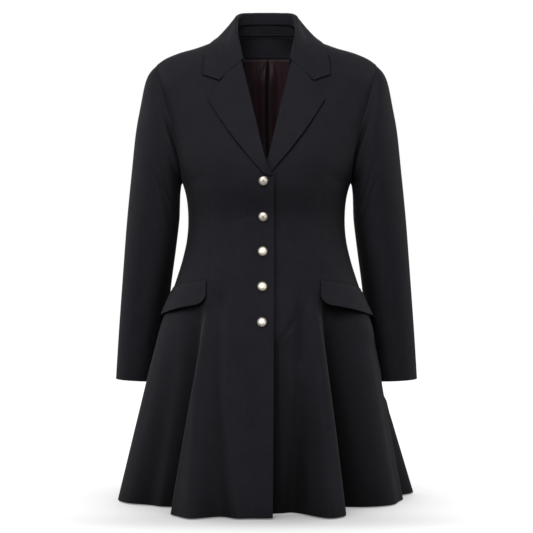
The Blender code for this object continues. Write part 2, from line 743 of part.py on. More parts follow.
def build_inside():
    """Build the facing and the lining that show inside the neck."""
    u, v = np.meshgrid(np.linspace(-1, 1, 15), np.linspace(0, 1, 4), indexing="ij")
    x = FACING_HALF * u
    brim = top_height(x) - 0.003 - 0.010 * smooth_step((np.abs(x) - 0.030) / 0.032)
    z = FACING_LOW_Z + (brim - FACING_LOW_Z) * v
    deep = WALL + 0.0016 + 0 * x
    add_wall("back_neck_facing", back_inside(x, z, deep), back_inside(x, z, deep + 0.0014))
    u = np.array((-1, -0.7, -0.42, -0.275, -0.206, -0.1375, -0.069, 0.0))
    u = np.concatenate([u, -u[-2::-1]])
    u, v = np.meshgrid(u, np.linspace(0, 1, 10), indexing="ij")
    x = LINING_HALF * u
    z = LINING_LOW_Z + (FACING_LOW_Z - 0.0012 - LINING_LOW_Z) * v
    ridge = np.abs(np.abs(x) - PLEAT_HALF) / PLEAT_HALF
    pleat = PLEAT_RISE * (0.5 + 0.5 * np.cos(np.pi * np.clip(ridge, 0, 1))) * smooth_step((1 - v) / 0.18)
    deep = WALL + 0.0019 + pleat
    outer = back_inside(x, z, deep)
    add_wall("back_lining", outer, outer - np.array([0, LINING_WALL, 0]), LINING_FINISH)


def build_buttons():
    """Build the turned buttons down the overlapping edge."""
    surface = front_surface(-1)
    turn = np.arange(BUTTON_SIDES) * 2 * np.pi / BUTTON_SIDES
    for k in range(BUTTON_COUNT):
        x = np.array([[BUTTON_X]])
        z = np.array([[BUTTON_TOP_Z - k * BUTTON_STEP]])
        foot = seat(surface, x, z, np.array([[BUTTON_CLEARS[k]]]))[0, 0]
        axis = seat(surface, x, z, np.array([[1.0]]))[0, 0] - surface(x, z)[0, 0]
        side = np.cross(axis, [0, 0, 1.0])
        side = side / np.linalg.norm(side)
        up = np.cross(side, axis)
        verts = []
        for radius, height in BUTTON_PROFILE:
            ring = np.cos(turn)[:, None] * side + np.sin(turn)[:, None] * up
            verts += (foot + axis * height + ring * radius).tolist()
        base, crown = len(verts), len(verts) + 1
        verts += [foot.tolist(), (foot + axis * BUTTON_CROWN).tolist()]
        faces = []
        rings = len(BUTTON_PROFILE)
        for i in range(rings - 1):
            for j in range(BUTTON_SIDES):
                a, b = i * BUTTON_SIDES + j, i * BUTTON_SIDES + (j + 1) % BUTTON_SIDES
                faces.append((a, b, b + BUTTON_SIDES, a + BUTTON_SIDES))
        for j in range(BUTTON_SIDES):
            nxt = (j + 1) % BUTTON_SIDES
            faces.append((nxt, j, base))
            top = (rings - 1) * BUTTON_SIDES
            faces.append((top + j, top + nxt, crown))
        add_object(f"button_{k + 1}", verts, faces, METAL_FINISH)


build_panels()
build_sleeves()
build_lapels()
build_collar()
build_flaps()
build_inside()
build_buttons()
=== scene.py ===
"""Looks of a fitted, flared overcoat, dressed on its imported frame.

Metres, +Z up. The front faces -Y and the wearer's right is at -X. Every cloth
piece is a thin closed wall worked out from the same sections, folds and seams
as the solids, on a finer grid, with its creases and rolled edges added.
"""

import logging
import math
from dataclasses import dataclass, field, replace
from enum import Enum
from typing import Callable, Optional, Sequence

import bmesh
import bpy
import numpy as np
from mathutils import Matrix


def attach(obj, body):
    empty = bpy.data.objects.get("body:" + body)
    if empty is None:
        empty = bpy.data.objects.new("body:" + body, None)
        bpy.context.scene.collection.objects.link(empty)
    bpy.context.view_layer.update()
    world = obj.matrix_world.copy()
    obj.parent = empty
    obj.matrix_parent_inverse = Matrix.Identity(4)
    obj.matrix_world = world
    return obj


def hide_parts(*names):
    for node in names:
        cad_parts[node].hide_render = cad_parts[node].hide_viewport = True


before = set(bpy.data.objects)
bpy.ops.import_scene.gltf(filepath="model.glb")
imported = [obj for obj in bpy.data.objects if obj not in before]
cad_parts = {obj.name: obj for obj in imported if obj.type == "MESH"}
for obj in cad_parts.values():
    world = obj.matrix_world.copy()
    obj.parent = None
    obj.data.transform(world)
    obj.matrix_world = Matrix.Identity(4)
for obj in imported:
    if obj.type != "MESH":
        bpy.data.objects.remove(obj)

LOG = logging.getLogger("overcoat")
Array = np.ndarray
Reader = Callable[[Array], Array]
Pair = tuple[float, float]
Triple = tuple[float, float, float]
Socket = bpy.types.NodeSocket
Material = bpy.types.Material
Piece = bpy.types.Object

FRONTS = ("front_right", "front_left")
BACKS = ("back_right", "back_left")
HEM_Z = -0.840
UNDERARM_Z = -0.258
NECK_X, NECK_Z, NAPE_Z = 0.068, 0.012, 0.022
WALL = 0.0020
SEAM_LAP = 0.0005
# Where the lapel's roll line leaves the front edge, and where it meets the collar
BREAK_POINT = (0.0010, -0.237)
GORGE_POINT = (-0.0445, -0.044)
# Step between the neighbours from which a slope is read
SLOPE_STEP = 0.0008
# Takes the height out of a point, which leaves the way out from the middle
LEVEL = np.array([1.0, 1.0, 0.0])
# How far in from an edge the cloth starts to round off, and the rows of that round
EDGE_REACH = 0.0014
EDGE_STEPS = np.array([0.0, 0.15, 0.45, 1.0, 2.0])
EDGE_DROPS = 1.0 - np.sqrt(1.0 - (1.0 - np.minimum(EDGE_STEPS, 1.0)) ** 2)
# Greatest shares of the way to the next row that those rows may lie at
EDGE_MOST = np.array([0.08, 0.24, 0.50, 0.85])


class Side(Enum):
    """Side of the wearer, with the sign of its X."""

    RIGHT = -1
    LEFT = 1

    @property
    def label(self) -> str:
        """Name used in node names."""
        return self.name.lower()


class Face(Enum):
    """Front or back of the body."""

    FRONT = "front"
    BACK = "back"


class Slot(Enum):
    """Material slots."""

    CLOTH = "coat_cloth"
    LINING = "lining"
    METAL = "button_metal"


class Held(Enum):
    """How a sheet is held."""

    HUNG = "hung"
    FOLDED = "folded"
    STRETCHED = "stretched"
    GATHERED = "gathered"


def smooth_curve(stations: Sequence[float], values: Sequence[float]) -> Reader:
    """Return a cubic Hermite curve through stations, its slopes from their neighbours.

    Args:
        stations: Places where the value is known, in any order.
        values: Value at each station.

    Returns:
        A function that reads the curve at an array of places.
    """
    order = np.argsort(stations)
    x = np.asarray(stations, float)[order]
    y = np.asarray(values, float)[order]
    slope = np.gradient(y, x)

    def read(at: Array) -> Array:
        """Read the curve, held level past its ends.

        Args:
            at: Places.

        Returns:
            Values there.
        """
        at = np.clip(at, x[0], x[-1])
        i = np.clip(np.searchsorted(x, at) - 1, 0, len(x) - 2)
        step = x[i + 1] - x[i]
        t = (at - x[i]) / step
        low = (1 + 2 * t) * (1 - t) ** 2 * y[i] + t * (1 - t) ** 2 * step * slope[i]
        high = t * t * (3 - 2 * t) * y[i + 1] - t * t * (1 - t) * step * slope[i + 1]
        return low + high

    return read


def column(table: Sequence[Sequence[float]], index: int) -> list[float]:
    """Return one column of a table."""
    return [row[index] for row in table]


def soft_step(t: Array) -> Array:
    """Return a soft step from 0 to 1: three t squared less two t cubed."""
    t = np.clip(t, 0.0, 1.0)
    return t * t * (3.0 - 2.0 * t)


def eased(value: Array, window: Pair) -> Array:
    """Return a soft step over a window, its start and its width, which is below 0 for a step down."""
    return soft_step((value - window[0]) / window[1])


def raised_cosine(share: Array) -> Array:
    """Return a raised cosine: 1 at nought, 0 from 1 on."""
    return 0.5 + 0.5 * np.cos(np.pi * np.clip(share, 0, 1))


def evenly(knots: Sequence[float], count: int) -> Array:
    """Return values in even steps along a row of knots."""
    return np.interp(np.linspace(0, 1, count), np.linspace(0, 1, len(knots)), knots)


def unit(v: Array) -> Array:
    """Return vectors of length 1."""
    return v / np.maximum(np.linalg.norm(v, axis=-1, keepdims=True), 1e-12)


def grid_normals(points: Array, away: Array) -> Array:
    """Return unit normals of a grid: the cross product of its two slopes.

    Args:
        points: Grid of points.
        away: Directions that the normals follow on the whole.

    Returns:
        Normals, one a point.
    """
    n = unit(np.cross(np.gradient(points, axis=1), np.gradient(points, axis=0)))
    return n if np.sum(n * away) >= 0 else -n


def softened(values: Array, passes: int) -> Array:
    """Return a grid of vectors averaged with its neighbours, one to two to one.

    Args:
        values: Grid of vectors.
        passes: How many times it is done, along both axes.

    Returns:
        The softer grid.
    """
    for _ in range(passes):
        for axis in (0, 1):
            rows = np.moveaxis(values, axis, 0)
            wide = np.concatenate([rows[:1], rows, rows[-1:]])
            values = np.moveaxis((wide[:-2] + 2 * wide[1:-1] + wide[2:]) / 4, 0, axis)
    return values


def lengths(points: Array, axis: int) -> Array:
    """Return how far along an axis of the grid each point lies: a running sum of the steps.

    Args:
        points: Grid of points.
        axis: Axis of the grid.

    Returns:
        Distances from the first row or column.
    """
    rows = np.moveaxis(points, axis, 0)
    run = np.cumsum(np.linalg.norm(np.diff(rows, axis=0, prepend=rows[:1]), axis=-1), axis=0)
    return np.moveaxis(run, 0, axis)


@dataclass(frozen=True)
class Fold:
    """A fold that grows from its start down to the hem, as a raised cosine.

    The azimuths are in degrees, the reach is outward at the hem, and fore and
    aft are its half widths towards the front and the back. Growth is the power
    of the share of the way down.
    """

    top: float
    hem: float
    start: float
    reach: float
    fore: float
    aft: float
    growth: float = 0.7


@dataclass(frozen=True)
class Crease:
    """A soft trough or ridge along a straight line on the cloth.

    It runs from (x0, z0) to (x1, z1), has a bell-shaped section of the given
    half width, and rises by depth, below nought for a trough.
    """

    x0: float
    z0: float
    x1: float
    z1: float
    width: float
    depth: float
    end_power: float = 0.8

    def height(self, x: Array, z: Array) -> Array:
        """Return its rise: a bell across the line times a round window along it.

        Args:
            x: Places across the cloth.
            z: Places up the cloth.

        Returns:
            Height above the plain cloth.
        """
        dx, dz = self.x1 - self.x0, self.z1 - self.z0
        length = math.hypot(dx, dz)
        t = ((x - self.x0) * dx + (z - self.z0) * dz) / length ** 2
        across = ((z - self.z0) * dx - (x - self.x0) * dz) / length
        window = np.clip(np.sin(np.pi * np.clip(t, 0, 1)), 0, 1) ** self.end_power
        return self.depth * np.exp(-((across / self.width) ** 2)) * window


def crease_height(x: Array, z: Array, creases: Sequence[Crease]) -> Array:
    """Return the sum of the creases at places on the cloth."""
    return sum((crease.height(x, z) for crease in creases), np.zeros(np.broadcast(x, z).shape))


@dataclass(frozen=True)
class Cause:
    """One cause of shade in a hollow: a measure past its start, over its range, times its weight."""

    start: float
    range: float
    weight: float

    def share(self, measure: Array) -> Array:
        """Return its part of the shade, from nought to the weight."""
        return self.weight * np.clip((measure - self.start) / self.range, 0, 1)


@dataclass(frozen=True)
class Cut:
    """Flat cut of one sheet: greatest width and length, area, and how it is held."""

    width: float
    length: float
    area: float
    held: Held
    rests_on: tuple[str, ...] = ()


@dataclass
class ClothPiece:
    """A closed wall of cloth on a grid of points, its edges rounded off.

    Attributes:
        node: CAD node that it stands for.
        points: Outer face, rows by columns.
        away: Directions that the outer normals follow on the whole.
        thickness: Thickness, one for all or one for each point.
        slot: Slot of its finish; not used.
        cut: Its flat cut.
        marks: Values for each point that its finish reads, by name.
        reach: How far in the rounding starts, at the ends and at the sides.
    """

    node: str
    points: Array
    away: Array
    thickness: float | Array
    slot: Slot
    cut: Cut
    marks: dict[str, Array] = field(default_factory=dict)
    reach: Pair = (EDGE_REACH, EDGE_REACH)

    @staticmethod
    def edge_rows(data: Array, axis: int, reach: float) -> tuple[Array, Array]:
        """Add rows close to both edges, on the line from the edge to the next row.

        Args:
            data: Grid whose first three values are places.
            axis: Axis across which the rows are added.
            reach: How far in the rounding starts.

        Returns:
            The larger grid, and the share of the round's drop in each row.
        """
        rows = np.moveaxis(data, axis, 0)

        def near(edge: Array, inner: Array) -> Array:
            """Return the rows between an edge and its neighbour.

            Args:
                edge: Row on the edge.
                inner: Row beside it.

            Returns:
                The new rows.
            """
            gap = np.linalg.norm((inner - edge)[..., :3], axis=-1, keepdims=True)
            share = EDGE_STEPS[1:, None, None] * reach / np.maximum(gap, 1e-9)
            return edge + (inner - edge) * np.minimum(share, EDGE_MOST[:, None, None])

        first, last = near(rows[0], rows[1]), near(rows[-1], rows[-2])[::-1]
        grown = np.concatenate([rows[:1], first, rows[1:-1], last, rows[-1:]])
        drop = np.zeros(len(grown))
        count = len(EDGE_STEPS)
        drop[:count], drop[-count:] = EDGE_DROPS, EDGE_DROPS[::-1]
        return np.moveaxis(grown, 0, axis), drop

    def build(self, finish: Material) -> Piece:
        """Build the wall and dress it: both faces meet at half thickness on a rounded rim.

        Args:
            finish: Its material.

        Returns:
            The new object, riding on the body in place of its node.
        """
        names = list(self.marks)
        layers = [self.points, np.broadcast_to(self.thickness, self.points.shape[:2])[..., None]]
        layers += [self.marks[k][..., None] for k in names]
        layers.append(np.broadcast_to(self.away, self.points.shape))
        data, drop_v = self.edge_rows(np.concatenate(layers, axis=-1), 0, self.reach[0])
        data, drop_u = self.edge_rows(data, 1, self.reach[1])
        middle, thick = data[..., :3], data[..., 3:4]
        n = grid_normals(middle, data[..., -3:])
        drop = np.maximum(drop_v[:, None], drop_u[None, :])[..., None]
        outer = middle - n * thick * drop / 2
        inner = middle - n * thick * (1 - drop / 2)
        rows, cols = middle.shape[:2]
        face_out = np.arange(rows * cols).reshape(rows, cols)
        face_in = face_out.copy()
        face_in[1:-1, 1:-1] = rows * cols + np.arange((rows - 2) * (cols - 2)).reshape(rows - 2, cols - 2)

        def both(values: Array) -> Array:
            """Return values for the vertices of both faces."""
            flat = values.reshape(rows * cols, -1)
            return np.concatenate([flat, values[1:-1, 1:-1].reshape((rows - 2) * (cols - 2), -1)])

        verts = np.concatenate([outer.reshape(-1, 3), inner[1:-1, 1:-1].reshape(-1, 3)])
        turned = self.turned(middle, n)
        faces = np.concatenate([self.quads(face_out, turned), self.quads(face_in, not turned)])
        across, along = lengths(middle, 1), lengths(middle, 0)
        mesh = bpy.data.meshes.new(self.node + "_cloth")
        mesh.from_pydata(verts.tolist(), [], faces.tolist())
        mesh.polygons.foreach_set("use_smooth", np.ones(len(faces), bool))
        uv = both(np.stack([across, along], -1))
        mesh.uv_layers.new(name="cloth").data.foreach_set("uv", uv[faces.ravel()].ravel())
        for k, name in enumerate(names):
            mark = mesh.attributes.new(name, "FLOAT", "POINT")
            mark.data.foreach_set("value", both(data[..., 4 + k]).ravel())
        mesh.materials.append(finish)
        obj = bpy.data.objects.new(self.node + "_cloth", mesh)
        bpy.context.scene.collection.objects.link(obj)
        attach(obj, "root")
        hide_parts(self.node)
        cut = self.cut
        list(cut.rests_on)
        LOG.info("%s: %d faces, %.3f x %.3f m, %.4f m2", obj.name, len(faces), across.max(), along.max(),
                 self.area(middle))
        return obj

    @staticmethod
    def crossed(points: Array) -> Array:
        """Return the cross product of each cell's diagonals."""
        return np.cross(points[1:, 1:] - points[:-1, :-1], points[1:, :-1] - points[:-1, 1:])

    @staticmethod
    def area(points: Array) -> float:
        """Return the area of a grid: half the cross product of each cell's diagonals."""
        return float(np.sum(np.linalg.norm(ClothPiece.crossed(points), axis=-1)) / 2)

    @staticmethod
    def turned(points: Array, n: Array) -> bool:
        """Return whether cells in row order turn away from the normals."""
        return bool(np.sum(ClothPiece.crossed(points) * n[:-1, :-1]) < 0)

    @staticmethod
    def quads(index: Array, turn: bool) -> Array:
        """Return the four corners of each cell of an index grid.

        Args:
            index: Vertex numbers, rows by columns.
            turn: Whether the corners go round the other way.

        Returns:
            Corners, four a cell.
        """
        a, b, c, d = index[:-1, :-1], index[:-1, 1:], index[1:, 1:], index[1:, :-1]
        order = (a, d, c, b) if turn else (a, b, c, d)
        return np.stack(order, -1).reshape(-1, 4)


@dataclass
class BodyForm:
    """Hollow form of the coat's body, shared by every piece that lies on it.

    Sections give height, half width, depth in front and depth behind. The
    shoulder seam gives distance from the middle and height.
    """

    sections: tuple[tuple[float, ...], ...] = (
        (0.040, 0.214, 0.058, 0.066),
        (-0.050, 0.212, 0.082, 0.088),
        (-0.150, 0.196, 0.113, 0.105),
        (-0.225, 0.172, 0.132, 0.104),
        (-0.266, 0.153, 0.129, 0.100),
        (-0.327, 0.1445, 0.107, 0.086),
        (-0.364, 0.147, 0.108, 0.090),
        (-0.401, 0.155, 0.114, 0.101),
        (-0.438, 0.1665, 0.122, 0.115),
        (-0.498, 0.188, 0.138, 0.134),
        (-0.581, 0.2105, 0.160, 0.158),
        (-0.697, 0.2395, 0.190, 0.188),
        (-0.840, 0.2740, 0.226, 0.226),
    )
    shoulder_seam: tuple[tuple[float, ...], ...] = (
        (0.068, 0.012),
        (0.098, 0.001),
        (0.127, -0.0096),
        (0.167, -0.0214),
        (0.190, -0.0318),
        (0.2026, -0.0408),
    )
    power: float = 2.2
    shoulder_round: float = 0.060
    press_azimuth: float = 104.0
    press_ahead: float = 15.0
    press_behind: float = 25.0
    press_heights: Triple = (-0.430, -0.612, -0.668)
    press_depth: float = 0.031
    fold_onset: float = 0.14
    # Painted shade of the folds: azimuths to either side, in degrees, at which a hollow's slope and closeness
    # are read, then the causes of that shade
    slope_turn: float = 4.0
    beside_turn: float = 10.0
    closed: Cause = Cause(0.0, 0.020, 0.5)
    deep: Cause = Cause(0.012, 0.045, 0.6)
    steep: Cause = Cause(0.014, 0.020, 0.40)
    scoop: float = 0.0275
    scoop_low: float = 0.6
    scoop_high: float = 1.8
    overlap_lift: float = 0.0027
    overlap_across: Pair = (-0.080, 0.050)
    overlap_down: Pair = (-0.20, -0.03)

    def __post_init__(self) -> None:
        """Make the curves through the tables."""
        z = column(self.sections, 0)
        self.half_width = smooth_curve(z, column(self.sections, 1))
        self.front_depth = smooth_curve(z, column(self.sections, 2))
        self.back_depth = smooth_curve(z, column(self.sections, 3))
        self.seam_height = smooth_curve(column(self.shoulder_seam, 0), column(self.shoulder_seam, 1))

    def top_height(self, x: Array) -> Array:
        """Return the height of the neckline, a quarter ellipse, and of the shoulder seam.

        Args:
            x: Distance from the middle.

        Returns:
            Height of the body's upper edge.
        """
        x = np.abs(x)
        neck = NECK_Z + (NAPE_Z - NECK_Z) * np.sqrt(np.clip(1 - (x / NECK_X) ** 2, 0, 1))
        return np.where(x < NECK_X, neck, self.seam_height(x))

    def rounding(self, x: Array, z: Array) -> Array:
        """Return 1 on the chest, falling in a quarter round to 0 on the shoulder seam.

        Args:
            x: Distance from the middle.
            z: Height.

        Returns:
            Share of the full depth.
        """
        rise = self.shoulder_round * np.clip(1 - np.abs(x) / NECK_X, 0, 1)
        drop = np.clip((self.top_height(x) + rise - z) / self.shoulder_round, 0, 1)
        return np.sqrt(np.clip(1 - (1 - drop) ** 2, 0, 1))

    def torso(self, x: Array, z: Array, face: Face) -> Array:
        """Return the chest or back: a superellipse section, rounded off at the shoulder.

        Args:
            x: Distance from the middle.
            z: Height.
            face: Chest or back.

        Returns:
            Points.
        """
        depth = self.back_depth(z) if face is Face.BACK else -self.front_depth(z)
        share = np.clip(1 - np.abs(x / self.half_width(z)) ** self.power, 0, 1)
        y = depth * share ** (1 / self.power) * self.rounding(x, z)
        return np.stack([x + 0 * z, y, z + 0 * x], -1)

    def fold_sum(self, theta: Array, z: Array, folds: Sequence[Fold]) -> Array:
        """Return the reach of the skirt's folds, less the hollow that each sleeve presses in.

        Args:
            theta: Azimuth in degrees, nought in front.
            z: Height.
            folds: Folds of the skirt.

        Returns:
            Distance out from the plain ring.
        """
        total = 0 * theta + 0 * z
        for f in folds:
            grown = np.clip((f.start - z) / (f.start - HEM_Z), 0, 1)
            away = (theta - f.hem - (f.top - f.hem) * (1 - grown)) * np.sign(f.hem)
            reach = f.reach * grown ** f.growth * soft_step(grown / self.fold_onset)
            total = total + reach * raised_cosine(np.abs(away) / np.where(away < 0, f.fore, f.aft))
        off = np.abs(theta) - self.press_azimuth
        away = np.abs(off) / np.where(off < 0, self.press_ahead, self.press_behind)
        top, deep, end = self.press_heights
        grown = np.minimum(soft_step((top - z) / (top - deep)), soft_step((z - end) / (deep - end)))
        return total - self.press_depth * grown * raised_cosine(away)

    def painted_shade(self, theta: Array, z: Array, folds: Sequence[Fold]) -> Array:
        """Return the painted shade of a place in the folds, from its depth, its slope and how folds close
        beside it.

        Args:
            theta: Azimuth in degrees, nought in front.
            z: Height.
            folds: Folds of the skirt.

        Returns:
            Values from 0 to 1.
        """

        def turned(by: float) -> Array:
            """Return the reach of the folds a little to one side."""
            return self.fold_sum(theta + by, z, folds)

        here = turned(0.0)
        slope = np.abs(turned(self.slope_turn) - turned(-self.slope_turn))
        beside = (turned(-self.beside_turn) + turned(self.beside_turn)) / 2
        shade = self.closed.share(beside - here) + self.deep.share(-here) + self.steep.share(slope)
        return np.clip(shade, 0, 1)

    def ring(self, theta: Array, z: Array, folds: Sequence[Fold]) -> Array:
        """Return the body below the underarm: a superellipse in polar form plus its folds.

        Args:
            theta: Azimuth in degrees, nought in front.
            z: Height.
            folds: Folds of the skirt.

        Returns:
            Points.
        """
        turn = np.radians(theta)
        depth = np.where(np.abs(theta) <= 90, self.front_depth(z), self.back_depth(z))
        side = np.abs(np.sin(turn) / self.half_width(z)) ** self.power
        ahead = np.abs(np.cos(turn) / depth) ** self.power
        radius = (side + ahead) ** (-1 / self.power) + self.fold_sum(theta, z, folds)
        return np.stack([radius * np.sin(turn), -radius * np.cos(turn), z + 0 * turn], -1)

    def armhole(self, w: Array) -> tuple[Array, Array]:
        """Return the armhole seam, a line up to the shoulder with a scoop of two powers.

        Args:
            w: Share of the armhole's height.

        Returns:
            Distance from the middle and height.
        """
        scoop = self.scoop * w ** self.scoop_low * (1 - w) ** self.scoop_high
        low_x, (top_x, top_z) = self.half_width(UNDERARM_Z), self.shoulder_seam[-1]
        return low_x + (top_x - low_x) * w - scoop, UNDERARM_Z + (top_z - UNDERARM_Z) * w

    def lifted(self, point: Array) -> Array:
        """Return the overlapping front, moved forward over the one underneath by soft steps.

        Args:
            point: Points of the front.

        Returns:
            The moved points.
        """
        amount = self.overlap_lift * eased(point[..., 0], self.overlap_across)
        moved = point.copy()
        moved[..., 1] -= amount * eased(point[..., 2], self.overlap_down)
        return moved

    def front(self, side: Side) -> Callable[[Array, Array], Array]:
        """Return the outer face of one front as a function of distance and height.

        Args:
            side: Side of the wearer.

        Returns:
            The function.
        """

        def read(x: Array, z: Array) -> Array:
            """Read the front, lifted where it overlaps."""
            point = self.torso(x, z, Face.FRONT)
            return self.lifted(point) if side is Side.RIGHT else point

        return read

    @staticmethod
    def seat(surface: Callable[[Array, Array], Array], x: Array, z: Array) -> tuple[Array, Array]:
        """Return points of a face and the normals there, from its slopes in x and z.

        Args:
            surface: Face as a function of distance and height.
            x: Distance from the middle.
            z: Height.

        Returns:
            Points, and unit normals that face the viewer on a front.
        """
        across = surface(x + SLOPE_STEP, z) - surface(x - SLOPE_STEP, z)
        up = surface(x, z + SLOPE_STEP) - surface(x, z - SLOPE_STEP)
        return surface(x, z), unit(np.cross(across, up))


def rolled_edge(
    start: Array, n: Array, beyond: Array, down: Array, deep: float, far: float, tail: float
) -> Array:
    """Return rows that roll over an edge and run down behind it.

    The section is half an ellipse from the outer face round to the inner one,
    then a straight tail.

    Args:
        start: Points on the edge of the outer face.
        n: Outward normals there.
        beyond: Directions on past the edge.
        down: Directions of the tail.
        deep: Half the depth of the roll.
        far: How far the roll reaches past the edge.
        tail: Length of the tail.

    Returns:
        Rows from the end of the tail to just before the edge, added on axis 0.
    """
    last_turn, arc_rows, last_run, tail_rows = 0.16, 12, 0.12, 6
    phi = np.linspace(np.pi, last_turn, arc_rows)[:, None, None]
    arc = start - n * deep + n * deep * np.cos(phi) + beyond * far * np.sin(phi)
    run = np.linspace(1, last_run, tail_rows)[:, None, None]
    return np.concatenate([start - n * 2 * deep + down * tail * run, arc])


def past_roll(rows: Array, values: Array) -> Array:
    """Return a mark of the outer face, with 1, which shows nothing, on the rows of the roll before it."""
    return np.concatenate([np.ones((len(rows), values.shape[1])), values])


@dataclass
class Panel:
    """One body panel: u from its middle edge to the side, v from hem to shoulder."""

    form: BodyForm
    finish: Material
    side: Side
    face: Face
    folds: tuple[Fold, ...]
    creases: tuple[Crease, ...]
    cut: Cut
    darts: tuple[Crease, ...] = ()
    rows: int = 224
    columns: int = 132
    over_edge_x: float = 0.0140
    under_edge_x: float = -0.0250
    edge_proud: float = 0.004
    # Both front edges drift to the wearer's right from this height down
    edge_drift: float = 0.0030
    drift_down: Pair = (-0.45, -0.39)
    # Shade on the lower front beside the overlapping edge
    overlap_down: Pair = (-0.23, -0.03)
    overlap_reach: float = 0.0070
    overlap_shade: float = 0.40
    # V edge: shares of the height of its corners, and how it lies back behind the roll line
    v_shares: tuple[float, ...] = (0.0, 0.08, 0.72, 1.0)
    v_edge_back: float = 0.0065
    v_back_low: Pair = (0.078, 0.06)
    v_back_high: Pair = (1.0, -0.2)
    crown_gap: float = 0.0002
    round_reach: float = 0.35
    # Seam marks: distance from the armhole, and from a dart that grows faint towards its top
    armhole_width: float = 0.10
    armhole_gap: float = 0.0002
    dart_gap: float = 0.0005
    dart_faint: float = 0.0012
    dart_faint_share: float = 0.62
    dart_half: float = 0.48
    rim_reach: Pair = (0.0006, 0.0004)
    # Columns from the middle edge to the side, closer together at the deep front folds
    spread: tuple[float, ...] = (
        0.0, 0.09, 0.18, 0.265, 0.34, 0.405, 0.462, 0.51,
        0.553, 0.60, 0.655, 0.735, 0.82, 0.91, 1.0,
    )
    # Row heights from the hem to the underarm, then shares of the armhole's height
    skirt_rows: tuple[float, ...] = (
        -0.840, -0.785, -0.730, -0.675, -0.620, -0.570, -0.525,
        -0.485, -0.450, -0.415, -0.383, -0.353, -0.327, -0.298, -0.258,
    )
    chest_rows: tuple[float, ...] = (0.12, 0.25, 0.38, 0.52, 0.66, 0.79, 0.895, 0.97, 1.0)

    @property
    def node(self) -> str:
        """Name of its CAD node."""
        return f"{self.face.value}_{self.side.label}"

    def edge_line(self, edge_x: float, z: Array) -> Array:
        """Return the distance of a front edge from the middle, with its drift."""
        start, height = self.drift_down
        return edge_x - self.edge_drift * np.clip((z - start) / height, 0, 1)

    def inner_azimuth(self, z: Array) -> Array:
        """Return the azimuth of the middle edge, a set distance from the middle.

        Args:
            z: Height.

        Returns:
            Azimuth in degrees.
        """
        sign = self.side.value
        if self.face is Face.BACK:
            return sign * (180.0 + 0 * z) + sign * np.degrees(SEAM_LAP / 2 / self.form.back_depth(z))
        edge = self.edge_line(self.over_edge_x if self.side is Side.RIGHT else self.under_edge_x, z)
        return np.degrees(np.arcsin(np.clip(edge / (self.form.front_depth(z) + self.edge_proud), -1, 1)))

    def outer_azimuth(self, z: Array) -> Array:
        """Return the azimuth of the side seam, where the panels lap by a hair at 90 degrees."""
        lap = np.degrees(SEAM_LAP / 2 / self.form.half_width(z))
        return self.side.value * (90.0 + (-lap if self.face is Face.BACK else lap))

    def inner_line(self, w: Array) -> tuple[Array, Array]:
        """Return the middle edge above the underarm: straight lines through the corners of the V.

        Args:
            w: Share of the height above the underarm.

        Returns:
            Distance from the middle and height.
        """
        sign = self.side.value
        if self.face is Face.BACK:
            return sign * (0 * w - SEAM_LAP / 2), UNDERARM_Z + (NAPE_Z - UNDERARM_Z) * w
        turn = math.radians(float(self.inner_azimuth(np.float64(UNDERARM_Z))))
        start = math.sin(turn) * float(self.form.front_depth(np.float64(UNDERARM_Z)))
        across = (start, -sign * BREAK_POINT[0], -sign * GORGE_POINT[0], sign * NECK_X)
        up = (UNDERARM_Z, BREAK_POINT[1], GORGE_POINT[1], NECK_Z)
        back = sign * self.v_edge_back * eased(w, self.v_back_low) * eased(w, self.v_back_high)
        return np.interp(w, self.v_shares, across) + back, np.interp(w, self.v_shares, up)

    def skirt(self, u: Array, v: Array) -> Array:
        """Return the panel from hem to underarm: the body's ring between its two seams.

        Args:
            u: Share of the way from the middle edge to the side.
            v: Share of the way up to the underarm.

        Returns:
            Outer points.
        """
        z = HEM_Z + (UNDERARM_Z - HEM_Z) * v
        inner, outer = self.inner_azimuth(z), self.outer_azimuth(z)
        return self.form.ring(inner + (outer - inner) * u, z, self.folds)

    def chest(self, u: Array, v: Array) -> Array:
        """Return the panel above the underarm: straight lines from edge to armhole, on the torso.

        Args:
            u: Share of the way from the middle edge to the armhole.
            v: From 1 at the underarm to 2 at the shoulder, slower near the top.

        Returns:
            Outer points.
        """
        form, sign = self.form, self.side.value
        rise = np.clip(v - 1, 0, 1 - self.crown_gap)
        w = 1 - (1 - rise) ** 2
        start_x, start_z = self.inner_line(w)
        end_x, end_z = form.armhole(w)
        level = np.full_like(u, UNDERARM_Z)
        inner, outer = self.inner_azimuth(level), self.outer_azimuth(level)
        base = form.ring(inner + (outer - inner) * u, level, ())[..., 0]
        first, last = form.ring(inner, level, ())[..., 0], form.ring(outer, level, ())[..., 0]
        round_share = (base - first) / (last - first)
        share = round_share + (u - round_share) * soft_step(w / self.round_reach)
        x = start_x + (sign * end_x - start_x) * share
        z = start_z + (end_z - start_z) * share
        top_x0, top_z0 = self.inner_line(np.ones_like(u))
        top_x1, top_z1 = form.armhole(np.ones_like(u))
        top_x = top_x0 + (sign * top_x1 - top_x0) * u
        chord = top_z0 + (top_z1 - top_z0) * u
        return form.torso(x, z + w ** 3 * (form.top_height(top_x) - chord), self.face)

    def surface(self, u: Array, v: Array) -> Array:
        """Return the skirt below v 1 and the chest above it.

        Args:
            u: Share of the way from the middle edge to the side.
            v: From 0 at the hem through 1 at the underarm to 2 at the shoulder.

        Returns:
            Outer points.
        """
        low, high = self.skirt(u, np.minimum(v, 1)), self.chest(u, np.maximum(v, 1))
        point = np.where((v <= 1)[..., None], low, high)
        over = self.face is Face.FRONT and self.side is Side.RIGHT
        return self.form.lifted(point) if over else point

